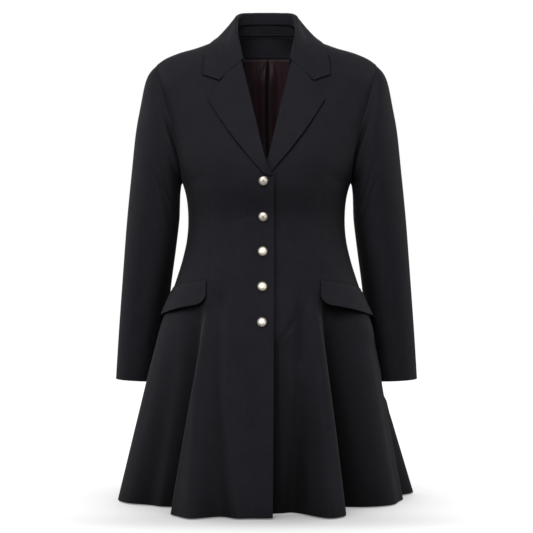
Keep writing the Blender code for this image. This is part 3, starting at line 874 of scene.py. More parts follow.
    def grid(self) -> tuple[Array, Array]:
        """Make the grid, closer together where the cloth turns most.

        Returns:
            Both of the panel's parameters, u and v.
        """
        skirt = (np.array(self.skirt_rows) - HEM_Z) / (UNDERARM_Z - HEM_Z)
        knots = np.concatenate([skirt, 2 - np.sqrt(1 - np.array(self.chest_rows))])
        spread = self.spread if self.face is Face.FRONT else (0.0, 1.0)
        return np.meshgrid(evenly(spread, self.columns), evenly(knots, self.rows))

    def shade(self, x: Array, z: Array, theta: Array) -> Array:
        """Return the shade of the folds, and a bell of shade beside the overlapping edge.

        Args:
            x: Distance from the middle.
            z: Height.
            theta: Azimuth in degrees.

        Returns:
            Values from 0 to 1.
        """
        if self.face is Face.BACK:
            theta = self.side.value * np.abs(theta)
        painted_shade = self.form.painted_shade(theta, z, self.folds) * (z < UNDERARM_Z)
        if self.face is Face.FRONT and self.side is Side.LEFT:
            beside = (x - self.edge_line(self.over_edge_x, z)) / self.overlap_reach
            dark = self.overlap_shade * np.exp(-beside ** 2) * eased(z, self.overlap_down)
            painted_shade = np.maximum(painted_shade, dark)
        return painted_shade

    def seam_mark(self, u: Array, x: Array, z: Array) -> Array:
        """Return the distance from the nearest seam: the armhole's or a dart's.

        Args:
            u: Share of the way from the middle edge to the armhole.
            x: Distance from the middle.
            z: Height.

        Returns:
            Distances in metres, 1 where there is no seam.
        """
        line = self.armhole_width * (1 - u) + np.where(z > UNDERARM_Z, self.armhole_gap, 1.0)
        for dart in self.darts:
            t = (z - dart.z0) / (dart.z1 - dart.z0)
            off = np.abs(x - dart.x0 - (dart.x1 - dart.x0) * t)
            faint = self.dart_faint * np.clip(self.dart_faint_share - t, 0, 1)
            ends = np.clip(np.abs(t - 0.5) - self.dart_half, 0, 1)
            line = np.minimum(line, off + self.dart_gap + faint + ends)
        return line

    def build(self) -> Piece:
        """Build the panel with its creases, the marks of its seams and its painted shade.

        Returns:
            The new object.
        """
        u, v = self.grid()
        plain = self.surface(u, v)
        away = plain * LEVEL
        x, z = plain[..., 0], plain[..., 2]
        rise = crease_height(x, z, self.creases + self.darts)
        points = plain + grid_normals(plain, away) * rise[..., None]
        theta = np.degrees(np.arctan2(points[..., 0], -points[..., 1]))
        # Painted shade of the folds and beside the overlapping edge, for the finish to darken
        marks = {"seam": self.seam_mark(u, x, z), "painted_shade": self.shade(x, z, theta)}
        piece = ClothPiece(self.node, points, away, WALL, Slot.CLOTH, self.cut, marks, self.rim_reach)
        return piece.build(self.finish)


@dataclass
class Sleeve:
    """Set-in sleeve in two halves: t from armhole 0 to cuff 1, ring angle from the shoulder.

    Stations give outer x and z, inner x and z, middle y and half depth.
    Creases lie on the cloth laid flat: metres round it and along it.
    """

    form: BodyForm
    finish: Material
    side: Side
    creases: tuple[Crease, ...]
    stations: tuple[tuple[float, ...], ...] = (
        (0.2030, -0.0408, 0.1562, -0.2580, 0.000, 0.058),
        (0.2165, -0.0565, 0.1574, -0.2615, 0.001, 0.062),
        (0.2250, -0.0780, 0.1586, -0.2705, 0.002, 0.064),
        (0.2326, -0.1150, 0.1598, -0.2825, 0.004, 0.064),
        (0.2420, -0.1650, 0.1606, -0.3010, 0.008, 0.062),
        (0.2500, -0.2350, 0.1622, -0.3300, 0.014, 0.059),
        (0.2600, -0.3270, 0.1692, -0.3830, 0.024, 0.055),
        (0.2688, -0.4300, 0.1788, -0.4520, 0.034, 0.051),
        (0.2768, -0.5300, 0.1876, -0.5400, 0.042, 0.047),
        (0.2833, -0.6245, 0.1966, -0.6285, 0.048, 0.043),
    )
    blend: float = 0.22
    seam_share: float = 1 / 3
    seam_lap_share: float = 0.0010
    round_length: float = 0.30
    long_length: float = 0.60
    rows: int = 150
    row_power: float = 1.1
    top_columns: int = 104
    under_columns: int = 46
    seam_weight: float = 0.8
    seam_place: float = 0.0013
    rim_reach: Pair = (EDGE_REACH, 0.0003)
    top_cut: Cut = Cut(0.27, 0.66, 0.120, Held.HUNG)
    under_cut: Cut = Cut(0.13, 0.48, 0.044, Held.HUNG)

    def __post_init__(self) -> None:
        """Make the curves through the stations."""
        t = np.linspace(0, 1, len(self.stations))
        self.read = [smooth_curve(t, column(self.stations, k)) for k in range(6)]

    def ellipse(self, t: Array, angle: Array) -> Array:
        """Return the plain ring: an ellipse between its outer and inner points.

        Args:
            t: Share of the way from armhole to cuff.
            angle: Turn from the shoulder towards the front.

        Returns:
            Points.
        """
        ox, oz, ix, iz, my, depth = [f(t) for f in self.read]
        swing = np.cos(angle)
        x = (ox + ix) / 2 + (ox - ix) / 2 * swing
        z = (oz + iz) / 2 + (oz - iz) / 2 * swing
        return np.stack([self.side.value * x, my - depth * np.sin(angle), z], -1)

    def middle(self, t: Array) -> Array:
        """Return the middle line, half way between the ring's front and back points."""
        quarter = 0.5 * np.pi + 0 * t
        return (self.ellipse(t, quarter) + self.ellipse(t, quarter + np.pi)) / 2

    def armhole(self, angle: Array) -> Array:
        """Return the armhole seam, lapped by a hair into the body.

        Args:
            angle: Turn from the shoulder towards the front.

        Returns:
            Points of the seam.
        """
        x, z = self.form.armhole((1 + np.cos(angle)) / 2)
        ahead = (np.sin(angle) > 0)[..., None]
        edge = np.where(ahead, self.form.torso(x, z, Face.FRONT), self.form.torso(x, z, Face.BACK))
        edge[..., 0] = self.side.value * (edge[..., 0] - 2 * SEAM_LAP)
        return edge

    def surface(self, share: Array, t: Array) -> Array:
        """Return the ring, drawn to the armhole by a square fade.

        Args:
            share: Share of a whole turn from the shoulder.
            t: Share of the way from armhole to cuff.

        Returns:
            Outer points.
        """
        angle = share * 2 * np.pi
        fade = np.clip(1 - t / self.blend, 0, 1) ** 2
        shift = self.armhole(angle) - self.ellipse(0 * angle, angle)
        return self.ellipse(t, angle) + shift * fade[..., None]

    def half(self, name: str, low: float, high: float, columns: int, cut: Cut) -> Piece:
        """Build one half with its creases.

        Args:
            name: Top or under.
            low: Share of a whole turn where it starts.
            high: Share of a whole turn where it ends.
            columns: Points round it.
            cut: Its flat cut.

        Returns:
            The new object.
        """
        down = np.linspace(0, 1, self.rows) ** self.row_power
        share, t = np.meshgrid(np.linspace(low, high, columns), down)
        points = self.surface(share, t)
        away = points - self.middle(t)
        flat_x, flat_z = share * self.round_length, t * self.long_length
        rise = crease_height(flat_x, flat_z, self.creases)
        rise = rise + crease_height(flat_x - self.round_length, flat_z, self.creases)
        points = points + grid_normals(points, away) * rise[..., None]
        label = self.side.label
        cut = replace(cut, rests_on=(f"front_{label}", f"back_{label}"))
        marks = {"seam": self.seam_weight * flat_z - self.seam_place}
        node = f"sleeve_{label}_{name}"
        return ClothPiece(node, points, away, WALL, Slot.CLOTH, cut, marks, self.rim_reach).build(self.finish)

    def build(self) -> list[Piece]:
        """Build the top and the under half, lapped at both seams.

        Returns:
            The new objects.
        """
        lap, seam = self.seam_lap_share, self.seam_share
        return [
            self.half("top", -seam - lap, seam + lap, self.top_columns, self.top_cut),
            self.half("under", seam - lap, 1 - seam + lap, self.under_columns, self.under_cut),
        ]


@dataclass
class Lapel:
    """Lapel on its front: p up the roll line, q across to its edge, rolled over the V edge."""

    form: BodyForm
    finish: Material
    side: Side
    cut: Cut = Cut(0.125, 0.26, 0.0165, Held.FOLDED)
    tip: Pair = (-0.1045, -0.1140)
    end: Pair = (-0.0045, -0.2500)
    bow: float = 0.0035
    top_bow: float = 0.005
    rows: int = 112
    columns: int = 44
    top_share: float = 1.004
    clear: float = 0.0008
    thickness: float = 0.0022
    roll_swell: float = 0.0016
    roll_deep: float = 0.0046
    roll_far: float = 0.0024
    roll_most: float = 0.3
    roll_from: float = 0.14
    tail: float = 0.020
    stand_off: float = 0.0030
    # Lower end of the upper lapel: both lines run on to a point on the front edge
    close_share: float = 0.08
    close_rows: int = 12
    close_point: Pair = (0.0078, -0.2525)
    close_edge: Pair = (0.0070, -0.2533)
    # Lower end of the other lapel, thin and flat under the front on top
    thin_share: float = 0.09
    thin: float = 0.0011
    thin_lift: float = 0.0014
    # Upper end: tucked under the collar near the roll, and lifted beside it
    tuck: float = 0.014
    tuck_across: Pair = (0.50, 0.12)
    tuck_up: Pair = (0.90, 0.10)
    collar_step: float = 0.0008
    collar_up: Pair = (0.80, 0.18)
    gorge_swell: float = 0.0016
    gorge_up: Pair = (0.85, 0.15)
    # Stitched row along the top, from the notch out
    top_length: float = 0.2
    notch_share: float = 0.62
    rim_reach: Pair = (0.0012, 0.0003)

    def plan(self, p: Array, q: Array) -> tuple[Array, Array]:
        """Return the flat plan: straight lines from the roll line to the bowed edge.

        Below nought, p runs on to the point where both lines meet on the front edge.

        Args:
            p: Share of the way up the roll line.
            q: Share of the way from the roll line to the edge.

        Returns:
            Distance from the middle and height.
        """
        closing = np.clip(-p / self.close_share, 0, 1)
        p = np.maximum(p, 0.0)
        bow = self.bow * np.sin(np.pi * p)
        place = []
        for k in (0, 1):
            roll = BREAK_POINT[k] + (GORGE_POINT[k] - BREAK_POINT[k]) * p
            edge = self.end[k] + (self.tip[k] - self.end[k]) * p - bow
            roll = roll + (self.close_point[k] - roll) * closing
            edge = edge + (self.close_edge[k] - edge) * closing
            place.append(roll + (edge - roll) * q)
        rise = self.top_bow * p ** 6 * np.sin(np.pi * np.clip(q, 0, 1)) * q
        return -self.side.value * place[0], place[1] + rise

    def lift(self, p: Array, q: Array) -> Array:
        """Return how far the outer face stands off its front: swells at the roll, the collar and the edge.

        Args:
            p: Share of the way up the roll line.
            q: Share of the way from the roll line to the edge.

        Returns:
            Distance along the front's normal.
        """
        lift = self.clear + self.thickness + self.roll_swell * (1 - q) ** 2
        lift = lift + self.collar_step * eased(p, self.collar_up)
        lift = lift + self.gorge_swell * (1 - q) ** 4 * eased(p, self.gorge_up)
        return lift + self.stand_off * np.sin(np.pi * np.clip(p, 0, 1)) * q ** 2

    def build(self) -> Piece:
        """Build the lapel and the turn of its facing behind the V edge.

        Returns:
            The new object.
        """
        over, label = self.side is Side.RIGHT, self.side.label
        low = np.linspace(-self.close_share, 0, self.close_rows)[:-1] if over else np.zeros(0)
        up = np.append(low, np.linspace(0, self.top_share, self.rows))
        q, p = np.meshgrid(np.linspace(0, 1, self.columns), up, indexing="ij")
        p = p + self.tuck * (1 - eased(q, self.tuck_across)) * eased(p, self.tuck_up)
        plan_x, plan_z = self.plan(p, np.ones_like(p))
        roll_x, roll_z = self.plan(p, np.zeros_like(p))
        width = np.hypot(plan_x - roll_x, plan_z - roll_z)
        first = np.clip(self.roll_far / width, 0, self.roll_most) * soft_step(p / self.roll_from)
        q = first + (1 - first) * q
        base, n = self.form.seat(self.form.front(self.side), *self.plan(p, q))
        full = np.ones_like(p) if over else soft_step(p / self.thin_share)
        thick = self.thin + (self.thickness - self.thin) * full
        lift = self.thin_lift + (self.lift(p, q) - self.thin_lift) * full
        points = base + n * lift[..., None]
        beyond = unit(points[0] - points[1])
        beyond = unit(beyond - n[0] * np.sum(beyond * n[0], -1, keepdims=True))
        rows = rolled_edge(points[0], n[0], beyond, -beyond, self.roll_deep, self.roll_far, self.tail)
        along = (self.top_share - p) * self.top_length + self.top_length * (q < self.notch_share)
        edge = past_roll(rows, np.minimum((1 - q) * width, along))
        points = np.concatenate([rows, points])
        away = np.zeros_like(points)
        away[len(rows):, :, 1] = -1.0
        marks = {"seam": np.ones_like(edge), "edge": edge}
        thick = np.concatenate([np.repeat(thick[:1], len(rows), axis=0), thick])
        cut, node = replace(self.cut, rests_on=(f"front_{label}",)), f"lapel_{label}"
        piece = ClothPiece(node, points, away, thick, Slot.CLOTH, cut, marks, self.rim_reach)
        return piece.build(self.finish)


@dataclass
class Collar:
    """Collar: s from the right gorge 0 to the left gorge 1, q from the roll to the outer edge.

    Stations from the gorge to the centre back give the roll line, the outer
    edge and how far the leaf bows out between them.
    """

    form: BodyForm
    finish: Material
    stand_finish: Material
    stations: tuple[tuple[float, ...], ...] = (
        (-0.0445, -0.0815, -0.0440, -0.1135, -0.0720, -0.0700, 0.002),
        (-0.0515, -0.0480, 0.0080, -0.1105, -0.0480, -0.0400, 0.003),
        (-0.0585, -0.0060, 0.0425, -0.0945, -0.0060, 0.0050, 0.000),
        (-0.0515, 0.0370, 0.0595, -0.0810, 0.0460, 0.0000, 0.002),
        (-0.0285, 0.0550, 0.0640, -0.0460, 0.0760, 0.0000, 0.004),
        (0.0000, 0.0600, 0.0650, 0.0000, 0.0850, 0.0000, 0.004),
    )
    notch: Pair = (-0.0830, -0.0850)
    notch_share: float = 0.60
    clear: float = 0.0046
    clear_edge: float = 0.0031
    thickness: float = 0.0022
    roll_deep: float = 0.0042
    roll_far: float = 0.0022
    tail: float = 0.019
    columns: int = 181
    rows: int = 40
    inside_z: float = -0.10
    # How the body's front passes into its back over the shoulder, and its least depth at the side
    behind_width: float = 0.030
    least_share: float = 0.02
    gorge_swell: float = 0.0024
    gorge_reach: float = 0.16
    # How points too near the body are pushed out: step of the slope, rounds, most in a round
    push_step: float = 0.0040
    push_rounds: int = 5
    push_most: float = 0.02
    push_over: Pair = (0.004, 0.012)
    push_soft: int = 14
    # Share of each half of the neck seam that lies behind
    back_share: float = 0.62
    # Painted shadow line along the outer edge, drawn through the seam mark: weight of the rim's distance near
    # the ends and between them
    edge_shadow_weight: float = 0.6
    edge_shadow_fade: float = 0.42
    edge_shadow_window: Pair = (0.03, 0.05)
    end_length: float = 0.405
    rim_reach: Pair = (0.0012, 0.0004)
    stand_ends: Pair = (0.13, 0.87)
    stand_columns: int = 121
    stand_rows: int = 44
    stand_inside: float = 0.0034
    stand_below: float = 0.0110
    stand_above: float = 0.0014
    stand_wall: float = WALL * 0.8
    grooves: Pair = (0.36, 0.16)
    groove_deep: float = 0.0005
    groove_half: float = 0.03
    fall_cut: Cut = Cut(0.44, 0.13, 0.0410, Held.FOLDED, FRONTS + BACKS)
    stand_cut: Cut = Cut(0.30, 0.055, 0.0087, Held.STRETCHED, BACKS)

    def __post_init__(self) -> None:
        """Make the curves through the stations and their mirror image."""
        half = np.array(self.stations)
        other = half[::-1][1:] * np.array([-1, 1, 1, -1, 1, 1, 1])
        full = np.concatenate([half, other])
        s = np.linspace(0, 1, len(full))
        self.read = [smooth_curve(s, full[:, k]) for k in range(7)]

    def roll(self, s: Array) -> Array:
        """Return the roll line."""
        return np.stack([self.read[k](s) for k in range(3)], -1)

    def level(self, point: Array) -> Array:
        """Return 1 on the body and more outside it: an ellipse in depth and height at each distance.

        Args:
            point: Points.

        Returns:
            Level of each point.
        """
        form = self.form
        x, y, z = point[..., 0], point[..., 1], point[..., 2]
        behind = soft_step(y / self.behind_width + 0.5)
        depth = form.front_depth(z) * (1 - behind) + form.back_depth(z) * behind
        share = np.clip(1 - np.abs(x / form.half_width(z)) ** form.power, self.least_share, 1)
        rise = form.shoulder_round * np.clip(1 - np.abs(x) / NECK_X, 0, 1)
        up = np.clip(1 - (form.top_height(x) + rise - z) / form.shoulder_round, 0, None)
        return np.hypot(y / (depth * share ** (1 / form.power)), up)

    def cleared(self, points: Array, clear: Array) -> Array:
        """Return points pushed out of the body along its level's slope where they lie too near it.

        Args:
            points: Grid of points.
            clear: Distance to keep from the body.

        Returns:
            The moved points.
        """
        step = self.push_step
        for _ in range(self.push_rounds):
            ways = step * np.eye(3)
            slope = np.stack([self.level(points + way) - self.level(points - way) for way in ways], -1)
            slope = slope / (2 * step)
            size = np.maximum(np.linalg.norm(slope, axis=-1), 1e-6)
            short = np.clip(clear - (self.level(points) - 1) / size, 0, self.push_most)
            over = points[..., 2] - self.form.top_height(points[..., 0])
            short = short * (1 - eased(over, self.push_over))
            points = points + slope * (short / size)[..., None]
        return points

    def leaf(self, s: Array, q: Array) -> Array:
        """Return the leaf: bowed lines from roll to edge, its ends cut to the gorge and notch.

        Args:
            s: Share of the way from the right gorge to the left one.
            q: Share of the way from the roll to the outer edge.

        Returns:
            Outer points.
        """
        roll = self.roll(s)
        edge = np.stack([self.read[k](s) for k in range(3, 6)], -1)
        point = roll + (edge - roll) * q[..., None]
        point[..., 2] += self.read[6](s) * np.sin(np.pi * q)
        first, last = self.stations[0][:3], self.stations[0][3:6]
        end = np.clip(1 - np.minimum(s, 1 - s) / self.gorge_reach, 0, 1) ** 2
        knots = (0, self.notch_share, 1)
        for axis, notch, sign in ((0, self.notch[0], np.where(s < 0.5, 1.0, -1.0)), (2, self.notch[1], 1.0)):
            straight = first[axis] + (last[axis] - first[axis]) * q
            bent = np.interp(q, knots, (first[axis], notch, last[axis])) - straight
            point[..., axis] += sign * end * bent
        clear = self.clear_edge + (self.clear - self.clear_edge) * (1 - q) + self.gorge_swell * (1 - q) ** 4
        return point + softened(self.cleared(point, clear) - point, self.push_soft)

    def neck_seam(self, s: Array) -> Array:
        """Return the seam of collar and body: the neckline behind, then straight lines to the gorges.

        Args:
            s: Share of the way from the right gorge to the left one.

        Returns:
            Points of the seam.
        """
        form, behind = self.form, self.back_share
        turn = (s - 0.5) / 0.5
        x = NECK_X * np.sin(np.clip(np.abs(turn) / behind, 0, 1) * np.pi / 2)
        y_back = form.torso(x, form.top_height(x) - 1e-6, Face.BACK)[..., 1]
        forward = np.clip((np.abs(turn) - behind) / (1 - behind), 0, 1)
        fx = NECK_X + (-GORGE_POINT[0] - NECK_X) * forward
        fz = NECK_Z + (GORGE_POINT[1] - NECK_Z) * forward
        back = np.stack([x, y_back, form.top_height(x)], -1)
        seam = np.where((forward > 0)[..., None], form.torso(fx, fz, Face.FRONT), back)
        seam[..., 0] *= np.sign(turn)
        return seam

    def fall(self) -> Piece:
        """Build the leaf, rolled over into the neck.

        Returns:
            The new object.
        """
        q, s = np.meshgrid(np.linspace(0, 1, self.rows), np.linspace(0, 1, self.columns), indexing="ij")
        points = self.leaf(s, q)
        away = points - np.array([0.0, 0.0, self.inside_z])
        n = grid_normals(points, away)
        beyond = unit(points[0] - points[1])
        down = unit(self.neck_seam(s[0]) - points[0])
        rows = rolled_edge(points[0], n[0], beyond, down, self.roll_deep, self.roll_far, self.tail)
        from_end = np.minimum(s, 1 - s)
        from_edge = (1 - q) * np.linalg.norm(points[-1] - points[0], axis=-1)
        ends = self.end_length * from_end + np.where(q < self.notch_share, 1.0, 0.0)
        # Painted shadow line along the outer edge: the seam mark grows slowly away from it, widest between
        # the ends
        weight = self.edge_shadow_weight - self.edge_shadow_fade * eased(from_end, self.edge_shadow_window)
        marks = {"seam": past_roll(rows, weight * from_edge),
                 "edge": past_roll(rows, np.minimum(from_edge, ends))}
        whole = np.concatenate([rows, points])
        away = np.concatenate([np.zeros_like(rows), away])
        return ClothPiece("collar_fall", whole, away, self.thickness, Slot.CLOTH, self.fall_cut, marks,
                          self.rim_reach).build(self.finish)

    def stand(self) -> Piece:
        """Build the band inside the leaf, with two rows of stitches sunk in it.

        Returns:
            The new object.
        """
        from_end = np.linspace(*self.stand_ends, self.stand_columns)
        q, s = np.meshgrid(np.linspace(0, 1, self.stand_rows), from_end, indexing="ij")
        top = self.roll(s)
        toward = unit(-top * LEVEL)
        head = top + toward * self.stand_inside - np.array([0, 0, self.stand_below])
        base = self.neck_seam(s) + np.array([0, 0, self.stand_above])
        stand = base + (head - base) * q[..., None]
        groove = self.groove_deep * sum(np.exp(-((q - at) / self.groove_half) ** 2) for at in self.grooves)
        stand = stand - toward * groove[..., None]
        marks = {"seam": np.ones_like(q)}
        return ClothPiece("collar_stand", stand, -toward, self.stand_wall, Slot.CLOTH, self.stand_cut,
                          marks).build(self.stand_finish)

    def build(self) -> list[Piece]:
        """Build the leaf and the stand."""
        return [self.fall(), self.stand()]


@dataclass
class PocketFlap:
    """Pocket flap on a front: along it from its front end, down it from its seam.

    Sections give azimuth and the heights of the top and the lower edge.
    """

    form: BodyForm
    finish: Material
    side: Side
    sections: tuple[tuple[float, ...], ...] = (
        (45.5, -0.4362, -0.4808),
        (60.0, -0.4408, -0.4885),
        (78.0, -0.4497, -0.5002),
        (93.0, -0.4570, -0.5080),
    )
    corner: float = 0.014
    shift: float = 0.0
    length: float = 0.135
    lean: float = -3.0
    clear_top: float = 0.0004
    clear_low: float = 0.0036
    thick_top: float = 0.0010
    thick_low: float = 0.0024
    thick_down: Pair = (0.0, 0.25)
    hang_power: float = 1.3
    # Slight waves of the lower edge
    curl: float = 0.0012
    curl_down: Pair = (0.5, 0.5)
    curl_rate: float = 7.0
    curl_start: float = 0.6
    curl_least: float = -0.0006
    # Columns close together round the corner, then even ones
    corner_share: float = 0.125
    corner_columns: int = 24
    columns: int = 74
    rows: int = 34
    seam_place: float = 0.0008
    cut: Cut = Cut(0.14, 0.058, 0.0081, Held.HUNG)

    def surface(self, s: Array, q: Array) -> Array:
        """Return the body's plain ring between the flap's edges, its lower corner rounded.

        Args:
            s: Share of the way along from the front end.
            q: Share of the way down.

        Returns:
            Points under the flap.
        """
        z_top = smooth_curve(column(self.sections, 0), column(self.sections, 1))
        z_low = smooth_curve(column(self.sections, 0), column(self.sections, 2))
        start, end = self.sections[0][0], self.sections[-1][0]
        azimuth = start + (end - start) * s
        inside = np.clip(1 - self.length * s / self.corner, 0, 1)
        round_off = self.corner * (1 - np.sqrt(np.clip(1 - inside ** 2, 0, 1)))
        top, bottom = z_top(azimuth), z_low(azimuth) + round_off
        z = top + (bottom - top) * q
        return self.form.ring(self.side.value * (azimuth + self.shift + self.lean * q * (1 - s)), z, ())

    def build(self) -> Piece:
        """Build the flap, flat at its seam and standing off at its lower edge.

        Returns:
            The new object.
        """
        corner = np.linspace(0, 1, self.corner_columns) ** 2 * self.corner_share
        along = np.concatenate([corner, np.linspace(self.corner_share, 1, self.columns)[1:]])
        s, q = np.meshgrid(along, np.linspace(0, 1, self.rows), indexing="ij")
        base = self.surface(s, q)
        away = base * LEVEL
        n = grid_normals(base, away)
        thick = self.thick_top + (self.thick_low - self.thick_top) * eased(q, self.thick_down)
        curl = self.curl * eased(q, self.curl_down) * np.sin(self.curl_rate * s + self.curl_start) * s
        clear = self.clear_top + (self.clear_low - self.clear_top) * q ** self.hang_power
        points = base + n * (clear + np.maximum(curl, self.curl_least) + thick)[..., None]
        height = np.linalg.norm(base[:, -1] - base[:, 0], axis=-1)[:, None]
        label = self.side.label
        cut = replace(self.cut, rests_on=(f"front_{label}",))
        marks = {"seam": q * height - self.seam_place, "edge": np.minimum(lengths(base, 0), (1 - q) * height)}
        return ClothPiece(f"flap_{label}", points, away, thick, Slot.CLOTH, cut, marks).build(self.finish)


@dataclass
class NeckInside:
    """Facing and lining that show inside the neck, both laid inside the back."""

    form: BodyForm
    finish: Material
    lining_finish: Material
    facing_low_z: float = -0.018
    facing_half: float = 0.062
    lining_low_z: float = -0.300
    lining_half: float = 0.066
    pleat_x: float = 0.0025
    pleat_half: float = 0.0150
    slit_half: float = 0.0034
    pleat_rise: float = 0.0130
    pleat_up: Pair = (0.98, -0.16)
    pleat_sway: float = 0.0012
    sway_rate: float = 14.0
    gap: float = 0.0030
    brim_below: float = 0.003
    brim_fall: float = 0.010
    brim_across: Pair = (0.030, 0.032)
    facing_grid: tuple[int, int] = (90, 30)
    lining_grid: tuple[int, int] = (140, 96)
    facing_wall: float = 0.0014
    lining_wall: float = 0.0010
    # The lining's top runs up under the facing
    top_tuck: float = 0.0018
    tuck_height: float = 0.003
    gather_least: float = -0.0008
    facing_seam: float = 0.04
    facing_seam_place: float = 0.001
    lining_seam: float = 0.6
    facing_cut: Cut = Cut(0.13, 0.055, 0.0048, Held.STRETCHED, BACKS)
    lining_cut: Cut = Cut(0.19, 0.30, 0.0460, Held.GATHERED, BACKS)
    # Gathers under the pleat: lines from the facing seam down the lining
    gathers: tuple[Crease, ...] = (
        Crease(-0.006, -0.022, -0.016, -0.075, 0.0022, 0.0022),
        Crease(-0.002, -0.024, -0.008, -0.060, 0.0016, -0.0018),
        Crease(0.011, -0.022, 0.019, -0.080, 0.0022, 0.0020),
        Crease(-0.020, -0.024, -0.030, -0.095, 0.0032, 0.0018),
        Crease(0.024, -0.026, 0.034, -0.110, 0.0036, 0.0018),
        Crease(-0.030, -0.120, -0.026, -0.230, 0.0060, 0.0026),
        Crease(0.030, -0.140, 0.027, -0.260, 0.0060, 0.0026),
    )

    def inside(self, x: Array, z: Array, deep: Array) -> Array:
        """Return points a set distance inside the back, along its normal.

        Args:
            x: Distance from the middle.
            z: Height.
            deep: Distance inside the back's outer face.

        Returns:
            Points.
        """
        back, n = self.form.seat(lambda at, up: self.form.torso(at, up, Face.BACK), x, z)
        return back + n * np.asarray(deep)[..., None]

    def facing(self) -> Piece:
        """Build the facing, from its seam up to the brim of the neck.

        Returns:
            The new object.
        """
        u, v = np.meshgrid(np.linspace(-1, 1, self.facing_grid[0]), np.linspace(0, 1, self.facing_grid[1]))
        x = self.facing_half * u
        brim = self.form.top_height(x) - self.brim_below - self.brim_fall * eased(np.abs(x), self.brim_across)
        z = self.facing_low_z + (brim - self.facing_low_z) * v
        points = self.inside(x, z, np.full_like(x, WALL + self.gap))
        away = np.zeros_like(points) + np.array([0.0, -1.0, 0.0])
        marks = {"seam": v * self.facing_seam - self.facing_seam_place}
        return ClothPiece("back_neck_facing", points, away, self.facing_wall, Slot.CLOTH, self.facing_cut,
                          marks).build(self.finish)

    def lining(self) -> Piece:
        """Build the lining: a bell-shaped pleat with a slit down its middle, and gathers.

        Returns:
            The new object.
        """
        u, v = np.meshgrid(np.linspace(-1, 1, self.lining_grid[0]), np.linspace(0, 1, self.lining_grid[1]))
        top_z = self.facing_low_z + self.gap
        x = self.lining_half * u
        z = self.lining_low_z + (top_z - self.lining_low_z) * v
        off = x - self.pleat_x - self.pleat_sway * np.sin(self.sway_rate * z)
        swell = np.exp(-np.abs(off / self.pleat_half) ** 3)
        slit = 1 - np.exp(-((off / self.slit_half) ** 2))
        pleat = self.pleat_rise * swell * slit * eased(v, self.pleat_up)
        rise = np.maximum(crease_height(x, z, self.gathers), self.gather_least)
        tuck = self.top_tuck * soft_step((z - self.facing_low_z) / self.tuck_height + 1)
        points = self.inside(x, z, WALL + self.gap - tuck + pleat + rise)
        away = np.zeros_like(points) + np.array([0.0, -1.0, 0.0])
        # Painted shade: the seam mark darkens the pleat's slit and the top, under the facing
        marks = {"seam": np.minimum(np.abs(off), self.lining_seam * (top_z - z))}
        return ClothPiece("back_lining", points, away, self.lining_wall, Slot.LINING, self.lining_cut,
                          marks).build(self.lining_finish)

    def build(self) -> list[Piece]:
        """Build the facing, and the lining with its pleat and gathers."""
        return [self.facing(), self.lining()]


